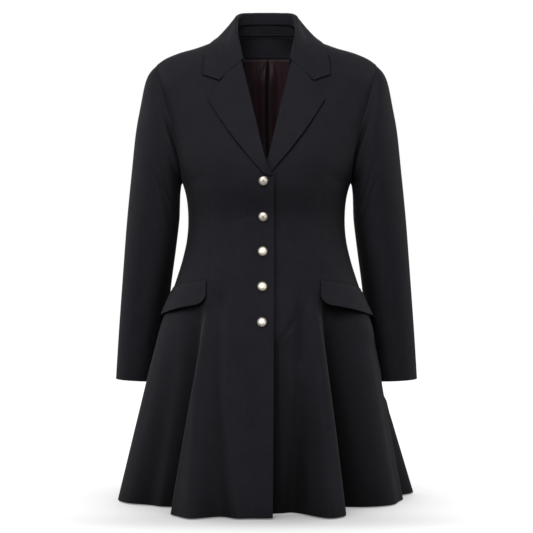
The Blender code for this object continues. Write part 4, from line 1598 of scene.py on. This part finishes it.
@dataclass
class Button:
    """Turned, domed button with a raised rim and a plain rosette in relief."""

    form: BodyForm
    finish: Material
    index: int
    x: float = -0.0055
    drift: float = 0.0006
    top_z: float = -0.2625
    step: float = 0.0622
    clears: tuple[float, ...] = (0.0004, 0.0011, 0.0006, 0.0006, 0.0006)
    turns: int = 64
    petals: int = 8
    petal_rise: float = 0.00028
    rings: int = 61
    # Places along the profile: where the petals rise and end, and how bright the plate is worn
    petals_from: Pair = (12.5, 1.5)
    petals_to: Pair = (19.2, -2.5)
    worn_places: tuple[float, ...] = (9, 11, 13, 15, 17.5, 19.5)
    worn_shares: tuple[float, ...] = (0.20, 0.0, 0.7, 0.9, 0.8, 0.3)
    dome_from: float = 13
    ground_worn: float = 0.6
    petal_worn: float = 0.8
    # Profile from the shank's foot: radius, height above the cloth
    profile: tuple[Pair, ...] = (
        (0.0000, 0.0000), (0.0024, 0.0000), (0.0026, 0.0004), (0.0026, 0.0012), (0.0050, 0.0013),
        (0.0076, 0.0014), (0.0082, 0.0017), (0.0083, 0.0022), (0.0081, 0.0027), (0.0077, 0.0030),
        (0.0073, 0.0030), (0.0070, 0.0028), (0.0067, 0.0030), (0.0062, 0.0034), (0.0055, 0.0038),
        (0.0047, 0.0041), (0.0038, 0.0043), (0.0029, 0.00445), (0.0020, 0.00455), (0.0010, 0.0046),
        (0.0000, 0.0046),
    )

    def build(self) -> Piece:
        """Build the button: its profile turned about the cloth's normal, petals on the dome.

        Returns:
            The new object.
        """
        z = np.array([self.top_z - self.index * self.step])
        x = np.array([self.x - self.drift * self.index])
        foot, n = self.form.seat(self.form.front(Side.RIGHT), x, z)
        foot, axis = foot[0] + n[0] * self.clears[self.index], n[0]
        across = unit(np.cross(axis, [0.0, 0.0, 1.0]))
        up = np.cross(across, axis)
        radius, height = (evenly(column(self.profile, k), self.rings) for k in (0, 1))
        fine = np.linspace(0, len(self.profile) - 1, self.rings)
        turn = np.arange(self.turns) * 2 * np.pi / self.turns
        dome = eased(fine, self.petals_from) * eased(fine, self.petals_to)
        petal = dome[:, None] * (0.5 + 0.5 * np.cos(self.petals * turn)[None, :]) ** 2
        ring = np.cos(turn)[:, None] * across + np.sin(turn)[:, None] * up
        rise = height[:, None] + self.petal_rise * petal
        verts = foot + axis * rise[..., None] + ring[None] * radius[:, None, None]
        worn = np.interp(fine, self.worn_places, self.worn_shares)[:, None] + 0 * petal
        ground = worn * (self.ground_worn + (1 - self.ground_worn) * petal)
        on_dome = np.maximum(ground, self.petal_worn * petal)
        relief = np.where(fine[:, None] > self.dome_from, on_dome, worn)
        name = f"button_{self.index + 1}"
        mesh = self.turned_mesh(name + "_turned", verts, relief)
        mesh.materials.append(self.finish)
        obj = bpy.data.objects.new(mesh.name, mesh)
        bpy.context.scene.collection.objects.link(obj)
        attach(obj, "root")
        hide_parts(name)
        LOG.info("%s: %d faces", obj.name, len(mesh.polygons))
        return obj

    def turned_mesh(self, name: str, verts: Array, relief: Array) -> bpy.types.Mesh:
        """Make a closed mesh of rings, with one vertex at each pole.

        Args:
            name: Name of the mesh.
            verts: Points, rings by turns.
            relief: How bright the plate is worn at each point.

        Returns:
            The mesh.
        """
        index = np.arange(self.rings * self.turns).reshape(self.rings, self.turns)
        index[0], index[-1] = index[0, 0], index[-1, 0]
        after = np.roll(index, -1, axis=1)
        body = np.stack([index[1:-2], after[1:-2], after[2:-1], index[2:-1]], -1).reshape(-1, 4).tolist()
        base = np.stack([index[0], after[1], index[1]], -1).tolist()
        crown = np.stack([index[-2], after[-2], index[-1]], -1).tolist()
        mesh = bpy.data.meshes.new(name)
        mesh.from_pydata(verts.reshape(-1, 3).tolist(), [], body + base + crown)
        mesh.attributes.new("relief", "FLOAT", "POINT").data.foreach_set("value", relief.ravel())
        used = np.zeros(index.size, bool)
        used[index.ravel()] = True
        self.drop_loose(mesh, used)
        mesh.polygons.foreach_set("use_smooth", np.ones(len(mesh.polygons), bool))
        return mesh

    @staticmethod
    def drop_loose(mesh: bpy.types.Mesh, used: Array) -> None:
        """Remove the spare vertices of both poles and turn the faces outwards.

        Args:
            mesh: Mesh of the button.
            used: Whether each vertex is used.
        """
        work = bmesh.new()
        work.from_mesh(mesh)
        work.verts.ensure_lookup_table()
        bmesh.ops.delete(work, geom=[v for v in work.verts if not used[v.index]], context="VERTS")
        bmesh.ops.recalc_face_normals(work, faces=work.faces)
        work.to_mesh(mesh)
        work.free()


class Graph:
    """Short way to add and join shader nodes in one tree."""

    def __init__(self, tree: bpy.types.NodeTree) -> None:
        """Keep the tree."""
        self.tree = tree

    def add(self, kind: str, inputs: Optional[dict] = None, **settings: object) -> bpy.types.Node:
        """Add a node.

        Args:
            kind: Node type.
            inputs: Input by name or number, each a value or a socket to join.
            settings: Attributes of the node.

        Returns:
            The node.
        """
        node = self.tree.nodes.new(kind)
        for name, value in settings.items():
            setattr(node, name, value)
        self.fill(node, inputs or {})
        return node

    def fill(self, node: bpy.types.Node, inputs: dict) -> None:
        """Set a node's inputs.

        Args:
            node: The node.
            inputs: Input by name or number, each a value or a socket to join.
        """
        for key, value in inputs.items():
            if isinstance(value, Socket):
                self.tree.links.new(value, node.inputs[key])
            else:
                node.inputs[key].default_value = value

    def math(self, operation: str, a: object, b: object = 0.0) -> Socket:
        """Return the result of one operation."""
        return self.add("ShaderNodeMath", {0: a, 1: b}, operation=operation).outputs[0]

    def plus(self, a: object, b: object) -> Socket:
        """Return a sum."""
        return self.math("ADD", a, b)

    def times(self, a: object, b: object) -> Socket:
        """Return a product."""
        return self.math("MULTIPLY", a, b)

    def ramp(
        self, value: object, low: float, high: float, start: float = 0.0, end: float = 1.0
    ) -> Socket:
        """Return a value carried from one range to another with soft ends."""
        inputs = {"Value": value, "From Min": low, "From Max": high, "To Min": start, "To Max": end}
        return self.add("ShaderNodeMapRange", inputs, interpolation_type="SMOOTHSTEP").outputs[0]

    def line(self, distance: object, low: float, high: float) -> Socket:
        """Return 1 on a line, falling softly to 0 on both sides of it."""
        return self.ramp(self.math("ABSOLUTE", distance), low, high, 1.0, 0.0)

    def mix(self, share: object, a: object, b: object) -> Socket:
        """Return a mix of two colours."""
        return self.add("ShaderNodeMix", {0: share, 6: a, 7: b}, data_type="RGBA").outputs[2]

    def noise(self, place: object, scale: float, detail: float) -> Socket:
        """Return soft noise at a place."""
        return self.add("ShaderNodeTexNoise", {"Vector": place, "Scale": scale, "Detail": detail}).outputs[0]

    def mark(self, name: str) -> Socket:
        """Return a mark that the mesh carries."""
        return self.add("ShaderNodeAttribute", attribute_name=name).outputs["Fac"]

    def body(self) -> Socket:
        """Return the place on the whole coat."""
        return self.add("ShaderNodeTexCoord").outputs["Object"]

    def bump(self, height: object, strength: float, distance: float) -> Socket:
        """Return normals of a height."""
        inputs = {"Height": height, "Strength": strength, "Distance": distance}
        return self.add("ShaderNodeBump", inputs).outputs[0]


def new_material(name: str) -> tuple[Material, Graph, bpy.types.Node]:
    """Make an empty material.

    Args:
        name: Name of the material.

    Returns:
        The material, its graph and its shader.
    """
    material = bpy.data.materials.new(name)
    material.use_nodes = True
    return material, Graph(material.node_tree), material.node_tree.nodes["Principled BSDF"]


def grey(value: float) -> tuple[float, float, float, float]:
    """Return a plain grey."""
    return value, value, value, 1.0


def thread_group() -> bpy.types.NodeTree:
    """Build the weave that every cloth shares.

    Threads cross at a pitch, each crossing a product of two sines, with a
    diagonal twill line over them and loose fibres from fine noise.

    Returns:
        A group with a height for the bump and a tone for the colour.
    """
    tree = bpy.data.node_groups.new("crossed_threads", "ShaderNodeTree")
    for name, kind, value in (("Place", "NodeSocketVector", None), ("Pitch", "NodeSocketFloat", 0.001),
                              ("Twill", "NodeSocketFloat", 0.6), ("Fibre", "NodeSocketFloat", 0.5)):
        socket = tree.interface.new_socket(name=name, in_out="INPUT", socket_type=kind)
        if value is not None:
            socket.default_value = value
    for name in ("Height", "Tone"):
        tree.interface.new_socket(name=name, in_out="OUTPUT", socket_type="NodeSocketFloat")
    g = Graph(tree)
    put = tree.nodes.new("NodeGroupInput").outputs
    place = g.add("ShaderNodeSeparateXYZ", {0: put["Place"]}).outputs
    rate = g.math("DIVIDE", 2 * math.pi, put["Pitch"])
    cross = g.times(g.math("SINE", g.times(place[0], rate)), g.math("SINE", g.times(place[1], rate)))
    slant = g.times(g.plus(place[0], g.times(place[1], 0.8)), rate)
    twill = g.math("SINE", g.times(slant, 0.5))
    fuzz, slub = (g.noise(put["Place"], scale, 3.0) for scale in (1400.0, 240.0))
    weave = g.plus(g.times(cross, 0.35), g.times(twill, put["Twill"]))
    height = g.plus(weave, g.times(g.plus(fuzz, slub), put["Fibre"]))
    tone = g.ramp(g.plus(g.times(height, 0.22), g.times(slub, 0.6)), 0.1, 0.75)
    out = tree.nodes.new("NodeGroupOutput")
    tree.links.new(height, out.inputs["Height"])
    tree.links.new(tone, out.inputs["Tone"])
    return tree


@dataclass(frozen=True)
class WoolFinish:
    """Matt black wool with a fine twill and slight changes of tone, darkened by painted shade in its hollows
    and folds.
    """

    low: Triple = (0.0072, 0.0070, 0.0090)
    high: Triple = (0.0124, 0.0120, 0.0154)
    # Dark colour of the painted shade in hollows and folds, and of the seam lines
    groove: Triple = (0.0022, 0.0022, 0.0025)
    pitch: float = 0.0011
    twill: float = 0.6
    fibre: float = 0.9
    # Shade changes: weights of threads, clouds and streaks, their scales, and the range they are spread over
    thread_weight: float = 0.25
    cloud_weight: float = 0.40
    cloud_scale: float = 26.0
    streak_weight: float = 0.48
    streak_scales: tuple[Triple, ...] = ((330.0, 34.0, 1.0), (34.0, 330.0, 1.0))
    shade_range: Pair = (0.35, 1.15)
    # Painted shade: reach and range of the ambient occlusion that darkens crevices, and weight of the folds'
    # painted shade mark
    painted_shade_reach: float = 0.10
    painted_shade_range: Pair = (0.22, 0.88)
    painted_shade_weight: float = 0.8
    # Seam lines and the stitched row: where they fade out, how dark and how deep they are
    seam_fade: Pair = (0.0004, 0.0013)
    seam_dark: float = 0.75
    seam_deep: float = 1.4
    stitch_place: float = 0.0030
    stitch_fade: Pair = (0.0003, 0.0010)
    stitch_deep: float = 0.8
    thread_height: float = 0.2
    bump: float = 0.20
    bump_height: float = 0.0006
    rough: Pair = (0.96, 0.84)
    specular: float = 0.06
    sheen: float = 0.030
    sheen_rough: float = 0.45
    sheen_tint: Triple = (0.92, 0.94, 1.0)

    def make(self, threads: bpy.types.NodeTree, stitched: bool) -> Material:
        """Make the material.

        Args:
            threads: Group of the crossed threads.
            stitched: Whether the piece has an edge stitched near its rim.

        Returns:
            The material.
        """
        material, g, shader = new_material("wool_stitched" if stitched else "wool")
        place = g.add("ShaderNodeUVMap", uv_map="cloth").outputs[0]
        weave = {"Place": place, "Pitch": self.pitch, "Twill": self.twill, "Fibre": self.fibre}
        cloth = g.add("ShaderNodeGroup", weave, node_tree=threads).outputs
        cloud = g.noise(g.body(), self.cloud_scale, 4.0)
        drawn = [g.add("ShaderNodeMapping", {0: place, 3: size}).outputs[0] for size in self.streak_scales]
        streaks = g.plus(*[g.noise(at, 1.0, 2.0) for at in drawn])
        share = g.plus(g.times(cloth["Tone"], self.thread_weight), g.times(cloud, self.cloud_weight))
        share = g.ramp(g.plus(share, g.times(streaks, self.streak_weight)), *self.shade_range)
        groove = (*self.groove, 1)
        colour = g.mix(share, (*self.low, 1), (*self.high, 1))
        # Painted shade: darker towards the groove colour in crevices found by ambient occlusion, and in the
        # folds by their mark
        painted_shade = g.add("ShaderNodeAmbientOcclusion", {"Distance": self.painted_shade_reach}, samples=8).outputs["AO"]
        colour = g.mix(g.ramp(painted_shade, *self.painted_shade_range), groove, colour)
        colour = g.mix(g.times(g.mark("painted_shade"), self.painted_shade_weight), colour, groove)
        line = g.line(g.mark("seam"), *self.seam_fade)
        colour = g.mix(g.times(line, self.seam_dark), colour, groove)
        height = g.times(cloth["Height"], self.thread_height)
        height = g.math("SUBTRACT", height, g.times(line, self.seam_deep))
        if stitched:
            row = g.line(g.math("SUBTRACT", g.mark("edge"), self.stitch_place), *self.stitch_fade)
            height = g.math("SUBTRACT", height, g.times(row, self.stitch_deep))
        g.fill(shader, {
            "Base Color": colour,
            "Roughness": g.ramp(cloth["Tone"], 0.0, 1.0, *self.rough),
            "Normal": g.bump(height, self.bump, self.bump_height),
            "Specular IOR Level": self.specular,
            "Sheen Weight": self.sheen,
            "Sheen Roughness": self.sheen_rough,
            "Sheen Tint": (*self.sheen_tint, 1.0),
        })
        return material


@dataclass(frozen=True)
class SatinFinish:
    """Dark burgundy satin lining with fine threads, and painted shade in its pleat's slit and under the
    facing.
    """

    low: Triple = (0.0120, 0.0064, 0.0082)
    high: Triple = (0.0240, 0.0108, 0.0146)
    # Painted shade: colour in the pleat's slit and under the facing, and where it fades out
    gap: Triple = (0.0012, 0.0009, 0.0011)
    gap_shade_fade: Pair = (0.0010, 0.0034)
    pitch: float = 0.0005
    twill: float = 0.3
    fibre: float = 0.4
    bump: float = 0.15
    bump_height: float = 0.0003
    rough: Pair = (0.52, 0.40)
    specular: float = 0.07
    sheen: float = 0.02

    def make(self, threads: bpy.types.NodeTree) -> Material:
        """Make the material.

        Args:
            threads: Group of the crossed threads.

        Returns:
            The material.
        """
        material, g, shader = new_material("lining_satin")
        place = g.add("ShaderNodeUVMap", uv_map="cloth").outputs[0]
        weave = {"Place": place, "Pitch": self.pitch, "Twill": self.twill, "Fibre": self.fibre}
        cloth = g.add("ShaderNodeGroup", weave, node_tree=threads).outputs
        colour = g.mix(cloth["Tone"], (*self.low, 1), (*self.high, 1))
        # Painted shade along the pleat's slit and at the top, under the facing
        colour = g.mix(g.line(g.mark("seam"), *self.gap_shade_fade), colour, (*self.gap, 1))
        g.fill(shader, {
            "Base Color": colour,
            "Roughness": g.ramp(cloth["Tone"], 0.0, 1.0, *self.rough),
            "Normal": g.bump(cloth["Height"], self.bump, self.bump_height),
            "Specular IOR Level": self.specular,
            "Sheen Weight": self.sheen,
        })
        return material


@dataclass(frozen=True)
class SilverFinish:
    """Worn silver plate: bright on what stands up, dull and dark in the hollows."""

    bright: Triple = (0.80, 0.745, 0.65)
    dull: Triple = (0.17, 0.14, 0.105)
    speck_scale: float = 900.0
    speck_weight: float = 0.5
    worn_range: Pair = (0.2, 0.95)
    bump: float = 0.2
    bump_height: float = 0.0002
    rough: Pair = (0.55, 0.42)
    metallic: float = 0.85

    def make(self) -> Material:
        """Make the material; its patina follows the relief and fine noise.

        Returns:
            The material.
        """
        material, g, shader = new_material("button_silver")
        speck = g.noise(g.body(), self.speck_scale, 4.0)
        share = g.ramp(g.plus(g.mark("relief"), g.times(speck, self.speck_weight)), *self.worn_range)
        g.fill(shader, {
            "Base Color": g.mix(share, (*self.dull, 1), (*self.bright, 1)),
            "Roughness": g.ramp(share, 0.0, 1.0, *self.rough),
            "Normal": g.bump(speck, self.bump, self.bump_height),
            "Metallic": self.metallic,
        })
        return material


@dataclass
class Studio:
    """White floor and room, soft lamps and the camera."""

    floor_z: float = HEM_Z - 0.0025
    floor_x: tuple[float, float, int] = (-40.0, 40.0, 9)
    floor_y: tuple[float, float, int] = (-40.0, 60.0, 11)
    camera_place: Triple = (0.0, -2.7, -0.4135)
    picture_width: float = 0.00185 * 533
    sensor: float = 36.0
    # Light of the room from ahead and from behind, and where one passes into the other
    front_light: float = 0.03
    back_light: float = 0.42
    room_range: Pair = (-0.35, 0.55)
    floor_near: float = 0.06
    floor_far: float = 0.08
    floor_white: float = 0.97
    floor_bounce: float = 0.10
    floor_glow: Pair = (0.35, 1.3)
    # Shade on the floor: reach and depth of the soft one, then place, half widths and weight of the one ahead
    shadow_reach: float = 0.30
    shadow_dark: float = 0.05
    ahead_y: float = -0.24
    ahead_half_y: float = 0.075
    ahead_half_x: float = 0.29
    shadow_ahead: float = 0.36
    lamp_aim: Triple = (0.0, 0.0, -0.35)
    # Lamps: place, size, power
    lamps: tuple[tuple[Triple, float, float], ...] = (
        ((-0.4, -1.8, 0.9), 1.0, 50.0),
        ((-2.0, -1.6, 0.0), 0.8, 6.0),
        ((1.8, -2.2, 0.3), 0.9, 18.0),
        ((0.0, -0.8, 2.5), 1.6, 12.0),
        ((-2.3, 0.7, 0.1), 0.9, 34.0),
        ((2.3, 0.7, 0.1), 0.9, 30.0),
        ((0.0, 2.6, 0.9), 1.2, 40.0),
    )

    def build(self) -> None:
        """Build the world, floor, lamps and camera."""
        self.room()
        self.floor()
        self.light()
        self.camera()
        bpy.context.scene.view_settings.view_transform = "Standard"

    def room(self) -> None:
        """Build the world: white where it is seen, else a soft light, stronger from behind."""
        world = bpy.data.worlds.new("white_room")
        world.use_nodes = True
        g = Graph(world.node_tree)
        way = g.add("ShaderNodeSeparateXYZ", {0: g.add("ShaderNodeTexCoord").outputs["Generated"]}).outputs
        room = g.ramp(way[1], *self.room_range, self.front_light, self.back_light)
        seen = g.add("ShaderNodeLightPath").outputs["Is Camera Ray"]
        strength = g.plus(seen, g.times(g.math("SUBTRACT", 1.0, seen), room))
        g.fill(world.node_tree.nodes["Background"], {"Color": grey(1.0), "Strength": strength})
        bpy.context.scene.world = world

    def light(self) -> None:
        """Build the lamps."""
        for k, (place, size, power) in enumerate(self.lamps):
            data = bpy.data.lights.new(f"softbox_{k + 1}", "AREA")
            data.shape, data.size, data.energy = "SQUARE", size, power
            lamp = bpy.data.objects.new(data.name, data)
            lamp.location = place
            lamp.rotation_euler = self.aimed(np.array(self.lamp_aim) - np.array(place))
            bpy.context.scene.collection.objects.link(lamp)

    def camera(self) -> None:
        """Build the camera, level and straight ahead of the coat."""
        data = bpy.data.cameras.new("camera")
        data.sensor_width = self.sensor
        data.lens = self.sensor * -self.camera_place[1] / self.picture_width
        camera = bpy.data.objects.new("camera", data)
        camera.location = self.camera_place
        camera.rotation_euler = (math.pi / 2, 0.0, 0.0)
        bpy.context.scene.collection.objects.link(camera)
        bpy.context.scene.camera = camera

    @staticmethod
    def aimed(aim: Array) -> Triple:
        """Return the turn of a lamp that shines along a direction."""
        flat = math.hypot(aim[0], aim[1])
        return math.atan2(flat, -aim[2]), 0.0, math.atan2(aim[0], -aim[1]) + math.pi

    def floor(self) -> None:
        """Build a flat, pale floor that brightens to the white of the room away from the coat."""
        x, y = np.meshgrid(np.linspace(*self.floor_x), np.linspace(*self.floor_y))
        verts = np.stack([x, y, np.full_like(x, self.floor_z)], -1).reshape(-1, 3)
        faces = ClothPiece.quads(np.arange(len(verts)).reshape(x.shape), False)
        mesh = bpy.data.meshes.new("floor")
        mesh.from_pydata(verts.tolist(), [], faces.tolist())
        mesh.polygons.foreach_set("use_smooth", np.ones(len(faces), bool))
        mesh.materials.append(self.floor_finish())
        obj = bpy.data.objects.new("floor", mesh)
        bpy.context.scene.collection.objects.link(obj)

    def floor_finish(self) -> Material:
        """Make the floor's material: it glows white where it is seen, but for the shade under the coat.

        Returns:
            The material.
        """
        material, g, shader = new_material("pale_floor")
        body = g.body()
        cloud = g.noise(body, 3.0, 2.0)
        place = g.add("ShaderNodeSeparateXYZ", {0: body}).outputs
        far_off = g.math("SQRT", g.plus(g.math("POWER", place[0], 2.0), g.math("POWER", place[1], 2.0)))
        white = g.mix(g.ramp(far_off, *self.floor_glow), grey(self.floor_white), grey(1.0))
        seen = g.add("ShaderNodeLightPath").outputs["Is Camera Ray"]
        shade = g.add("ShaderNodeAmbientOcclusion", {"Distance": self.shadow_reach}, samples=16).outputs["AO"]
        # Painted shadow ahead of the hem: a soft oval that darkens the floor's white
        ahead = g.math("DIVIDE", g.math("SUBTRACT", place[1], self.ahead_y), self.ahead_half_y)
        wide = g.math("DIVIDE", place[0], self.ahead_half_x)
        ahead_shadow = g.plus(g.math("POWER", ahead, 2.0), g.math("POWER", wide, 2.0))
        ahead_shadow = g.times(g.math("EXPONENT", g.times(ahead_shadow, -1.0)), self.shadow_ahead)
        shade = g.times(shade, g.math("SUBTRACT", 1.0, ahead_shadow))
        shown = g.mix(shade, grey(self.shadow_dark), white)
        g.fill(shader, {
            "Base Color": g.mix(cloud, grey(self.floor_near), grey(self.floor_far)),
            "Emission Color": g.mix(seen, grey(self.floor_bounce), shown),
            "Emission Strength": 1.0,
            "Roughness": 0.9,
        })
        return material


RIGHT_FOLDS = (
    Fold(-33.0, -27.0, -0.450, 0.027, 24.0, 17.0),
    Fold(-50.5, -53.0, -0.455, -0.056, 12.5, 32.0, 0.75),
    Fold(-88.0, -92.0, -0.600, -0.001, 16.0, 16.0),
    Fold(-116.0, -114.0, -0.500, -0.030, 20.0, 20.0),
    Fold(-137.0, -136.0, -0.480, 0.022, 20.0, 20.0),
    Fold(-158.0, -158.0, -0.490, -0.026, 20.0, 20.0),
    # Smaller folds between them
    Fold(-38.0, -21.0, -0.425, -0.028, 10.5, 9.5),
    Fold(-49.5, -47.5, -0.452, -0.018, 7.5, 14.0, 1.0),
    Fold(-64.0, -67.0, -0.520, -0.008, 8.0, 8.0),
    Fold(-126.0, -125.0, -0.560, 0.006, 8.0, 8.0),
    Fold(-172.0, -171.0, -0.540, 0.008, 9.0, 9.0),
)
LEFT_FOLDS = (
    Fold(10.0, 9.0, -0.520, -0.046, 30.0, 19.0),
    Fold(34.5, 24.5, -0.450, 0.017, 14.0, 13.0),
    Fold(49.2, 47.6, -0.448, -0.072, 16.0, 26.0, 0.55),
    Fold(78.0, 76.0, -0.520, -0.028, 26.0, 24.0),
    Fold(94.0, 92.5, -0.600, -0.024, 10.0, 9.5),
    Fold(108.0, 108.0, -0.680, 0.016, 14.0, 18.0, 1.0),
    Fold(126.0, 128.0, -0.500, -0.030, 20.0, 20.0),
    Fold(146.0, 147.0, -0.480, 0.022, 18.0, 18.0),
    Fold(163.0, 163.0, -0.500, -0.018, 15.0, 15.0),
    # Smaller folds between them
    Fold(29.0, 17.5, -0.425, -0.023, 9.5, 8.0),
    Fold(49.4, 44.6, -0.446, -0.018, 8.0, 14.0, 1.0),
    Fold(137.0, 136.0, -0.580, 0.006, 8.0, 8.0),
    Fold(174.0, 172.0, -0.560, 0.008, 8.0, 8.0),
)
FRONT_RIGHT_CREASES = (
    Crease(-0.0868, -0.3407, -0.0342, -0.3267, 0.0050, -0.0010),
    Crease(-0.1460, -0.2700, -0.1050, -0.2480, 0.0080, -0.0012),
    Crease(-0.0250, -0.2950, -0.0180, -0.3600, 0.0060, -0.0006),
    Crease(-0.0640, -0.5600, -0.0560, -0.7600, 0.0090, -0.0016),
)
FRONT_LEFT_CREASES = (
    Crease(0.0560, -0.5000, 0.0210, -0.5480, 0.0034, -0.0034),
    Crease(0.0660, -0.5450, 0.0560, -0.5880, 0.0042, -0.0022),
    Crease(0.0575, -0.6050, 0.0540, -0.7000, 0.0060, -0.0030),
    Crease(0.0590, -0.5850, 0.0570, -0.6250, 0.0036, 0.0012),
    Crease(0.0176, -0.2420, 0.0176, -0.8600, 0.0036, -0.0030),
    Crease(0.1460, -0.2700, 0.1080, -0.2460, 0.0080, -0.0012),
)
BACK_CREASES = (
    Crease(-0.0950, -0.3250, -0.0250, -0.3400, 0.0080, -0.0016),
    Crease(0.1000, -0.3300, 0.0300, -0.3480, 0.0080, -0.0014),
    Crease(-0.1250, -0.2300, -0.0700, -0.2900, 0.0100, -0.0016),
    Crease(0.1280, -0.2250, 0.0760, -0.2950, 0.0100, -0.0018),
    Crease(0.0300, -0.0450, 0.1100, -0.0700, 0.0090, -0.0010),
)
# Hollows beside the lower part of the armhole, front and back
ARMHOLE_CREASES = (
    Crease(0.070, 0.022, 0.136, 0.052, 0.0150, -0.0085),
    Crease(0.230, 0.022, 0.164, 0.052, 0.0150, -0.0060),
)
RIGHT_SLEEVE_CREASES = ARMHOLE_CREASES + (
    Crease(0.076, 0.240, 0.120, 0.300, 0.0060, -0.0024),
    Crease(0.070, 0.285, 0.124, 0.350, 0.0070, -0.0028),
    Crease(0.095, 0.335, 0.134, 0.380, 0.0060, -0.0020),
    Crease(0.072, 0.262, 0.118, 0.322, 0.0050, 0.0014),
    Crease(0.060, 0.420, 0.125, 0.450, 0.0100, -0.0014),
    Crease(0.092, 0.530, 0.124, 0.585, 0.0060, -0.0018),
    Crease(0.185, 0.350, 0.240, 0.395, 0.0090, -0.0024),
    Crease(0.180, 0.400, 0.232, 0.425, 0.0090, -0.0020),
    Crease(0.190, 0.255, 0.225, 0.300, 0.0070, -0.0020),
)
LEFT_SLEEVE_CREASES = ARMHOLE_CREASES + (
    Crease(0.080, 0.235, 0.122, 0.290, 0.0060, -0.0020),
    Crease(0.074, 0.290, 0.122, 0.345, 0.0070, -0.0024),
    Crease(0.070, 0.425, 0.128, 0.462, 0.0110, -0.0014),
    Crease(0.098, 0.540, 0.122, 0.580, 0.0060, -0.0012),
    Crease(0.186, 0.345, 0.238, 0.392, 0.0090, -0.0022),
    Crease(0.182, 0.410, 0.228, 0.428, 0.0090, -0.0020),
    Crease(0.192, 0.262, 0.228, 0.312, 0.0070, -0.0018),
)
RIGHT_DARTS = (Crease(-0.1015, -0.2500, -0.1025, -0.4360, 0.0030, -0.0008),)
LEFT_DARTS = (Crease(0.0970, -0.2500, 0.0985, -0.4360, 0.0030, -0.0008),)
FRONT_CUT = Cut(0.56, 0.90, 0.260, Held.HUNG, BACKS)
BACK_CUT = Cut(0.56, 0.88, 0.245, Held.HUNG, FRONTS)
BACK_ROWS, BACK_COLUMNS = 168, 104
RIGHT_FLAP_SHIFT, LEFT_FLAP_SHIFT = 2.2, -2.4
BUTTONS = 5


def main() -> None:
    """Build the studio and the finishes, then every piece."""
    logging.basicConfig(level=logging.INFO, format="%(message)s")
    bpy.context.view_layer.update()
    Studio().build()
    threads = thread_group()
    wool, stitched = (WoolFinish().make(threads, edge) for edge in (False, True))
    satin, silver = SatinFinish().make(threads), SilverFinish().make()
    form = BodyForm()
    back_grid = {"rows": BACK_ROWS, "columns": BACK_COLUMNS}
    pieces = (
        Panel(form, wool, Side.RIGHT, Face.FRONT, RIGHT_FOLDS, FRONT_RIGHT_CREASES, FRONT_CUT, RIGHT_DARTS),
        Panel(form, wool, Side.LEFT, Face.FRONT, LEFT_FOLDS, FRONT_LEFT_CREASES, FRONT_CUT, LEFT_DARTS),
        Panel(form, wool, Side.RIGHT, Face.BACK, RIGHT_FOLDS, BACK_CREASES, BACK_CUT, **back_grid),
        Panel(form, wool, Side.LEFT, Face.BACK, LEFT_FOLDS, BACK_CREASES, BACK_CUT, **back_grid),
        Sleeve(form, wool, Side.RIGHT, RIGHT_SLEEVE_CREASES),
        Sleeve(form, wool, Side.LEFT, LEFT_SLEEVE_CREASES),
        Collar(form, stitched, wool),
        NeckInside(form, wool, satin),
        Lapel(form, stitched, Side.RIGHT),
        Lapel(form, stitched, Side.LEFT),
        PocketFlap(form, stitched, Side.RIGHT, shift=RIGHT_FLAP_SHIFT),
        PocketFlap(form, stitched, Side.LEFT, shift=LEFT_FLAP_SHIFT),
    )
    for piece in pieces + tuple(Button(form, silver, k) for k in range(BUTTONS)):
        piece.build()
    bpy.context.view_layer.update()


if __name__ == "__main__":
    main()
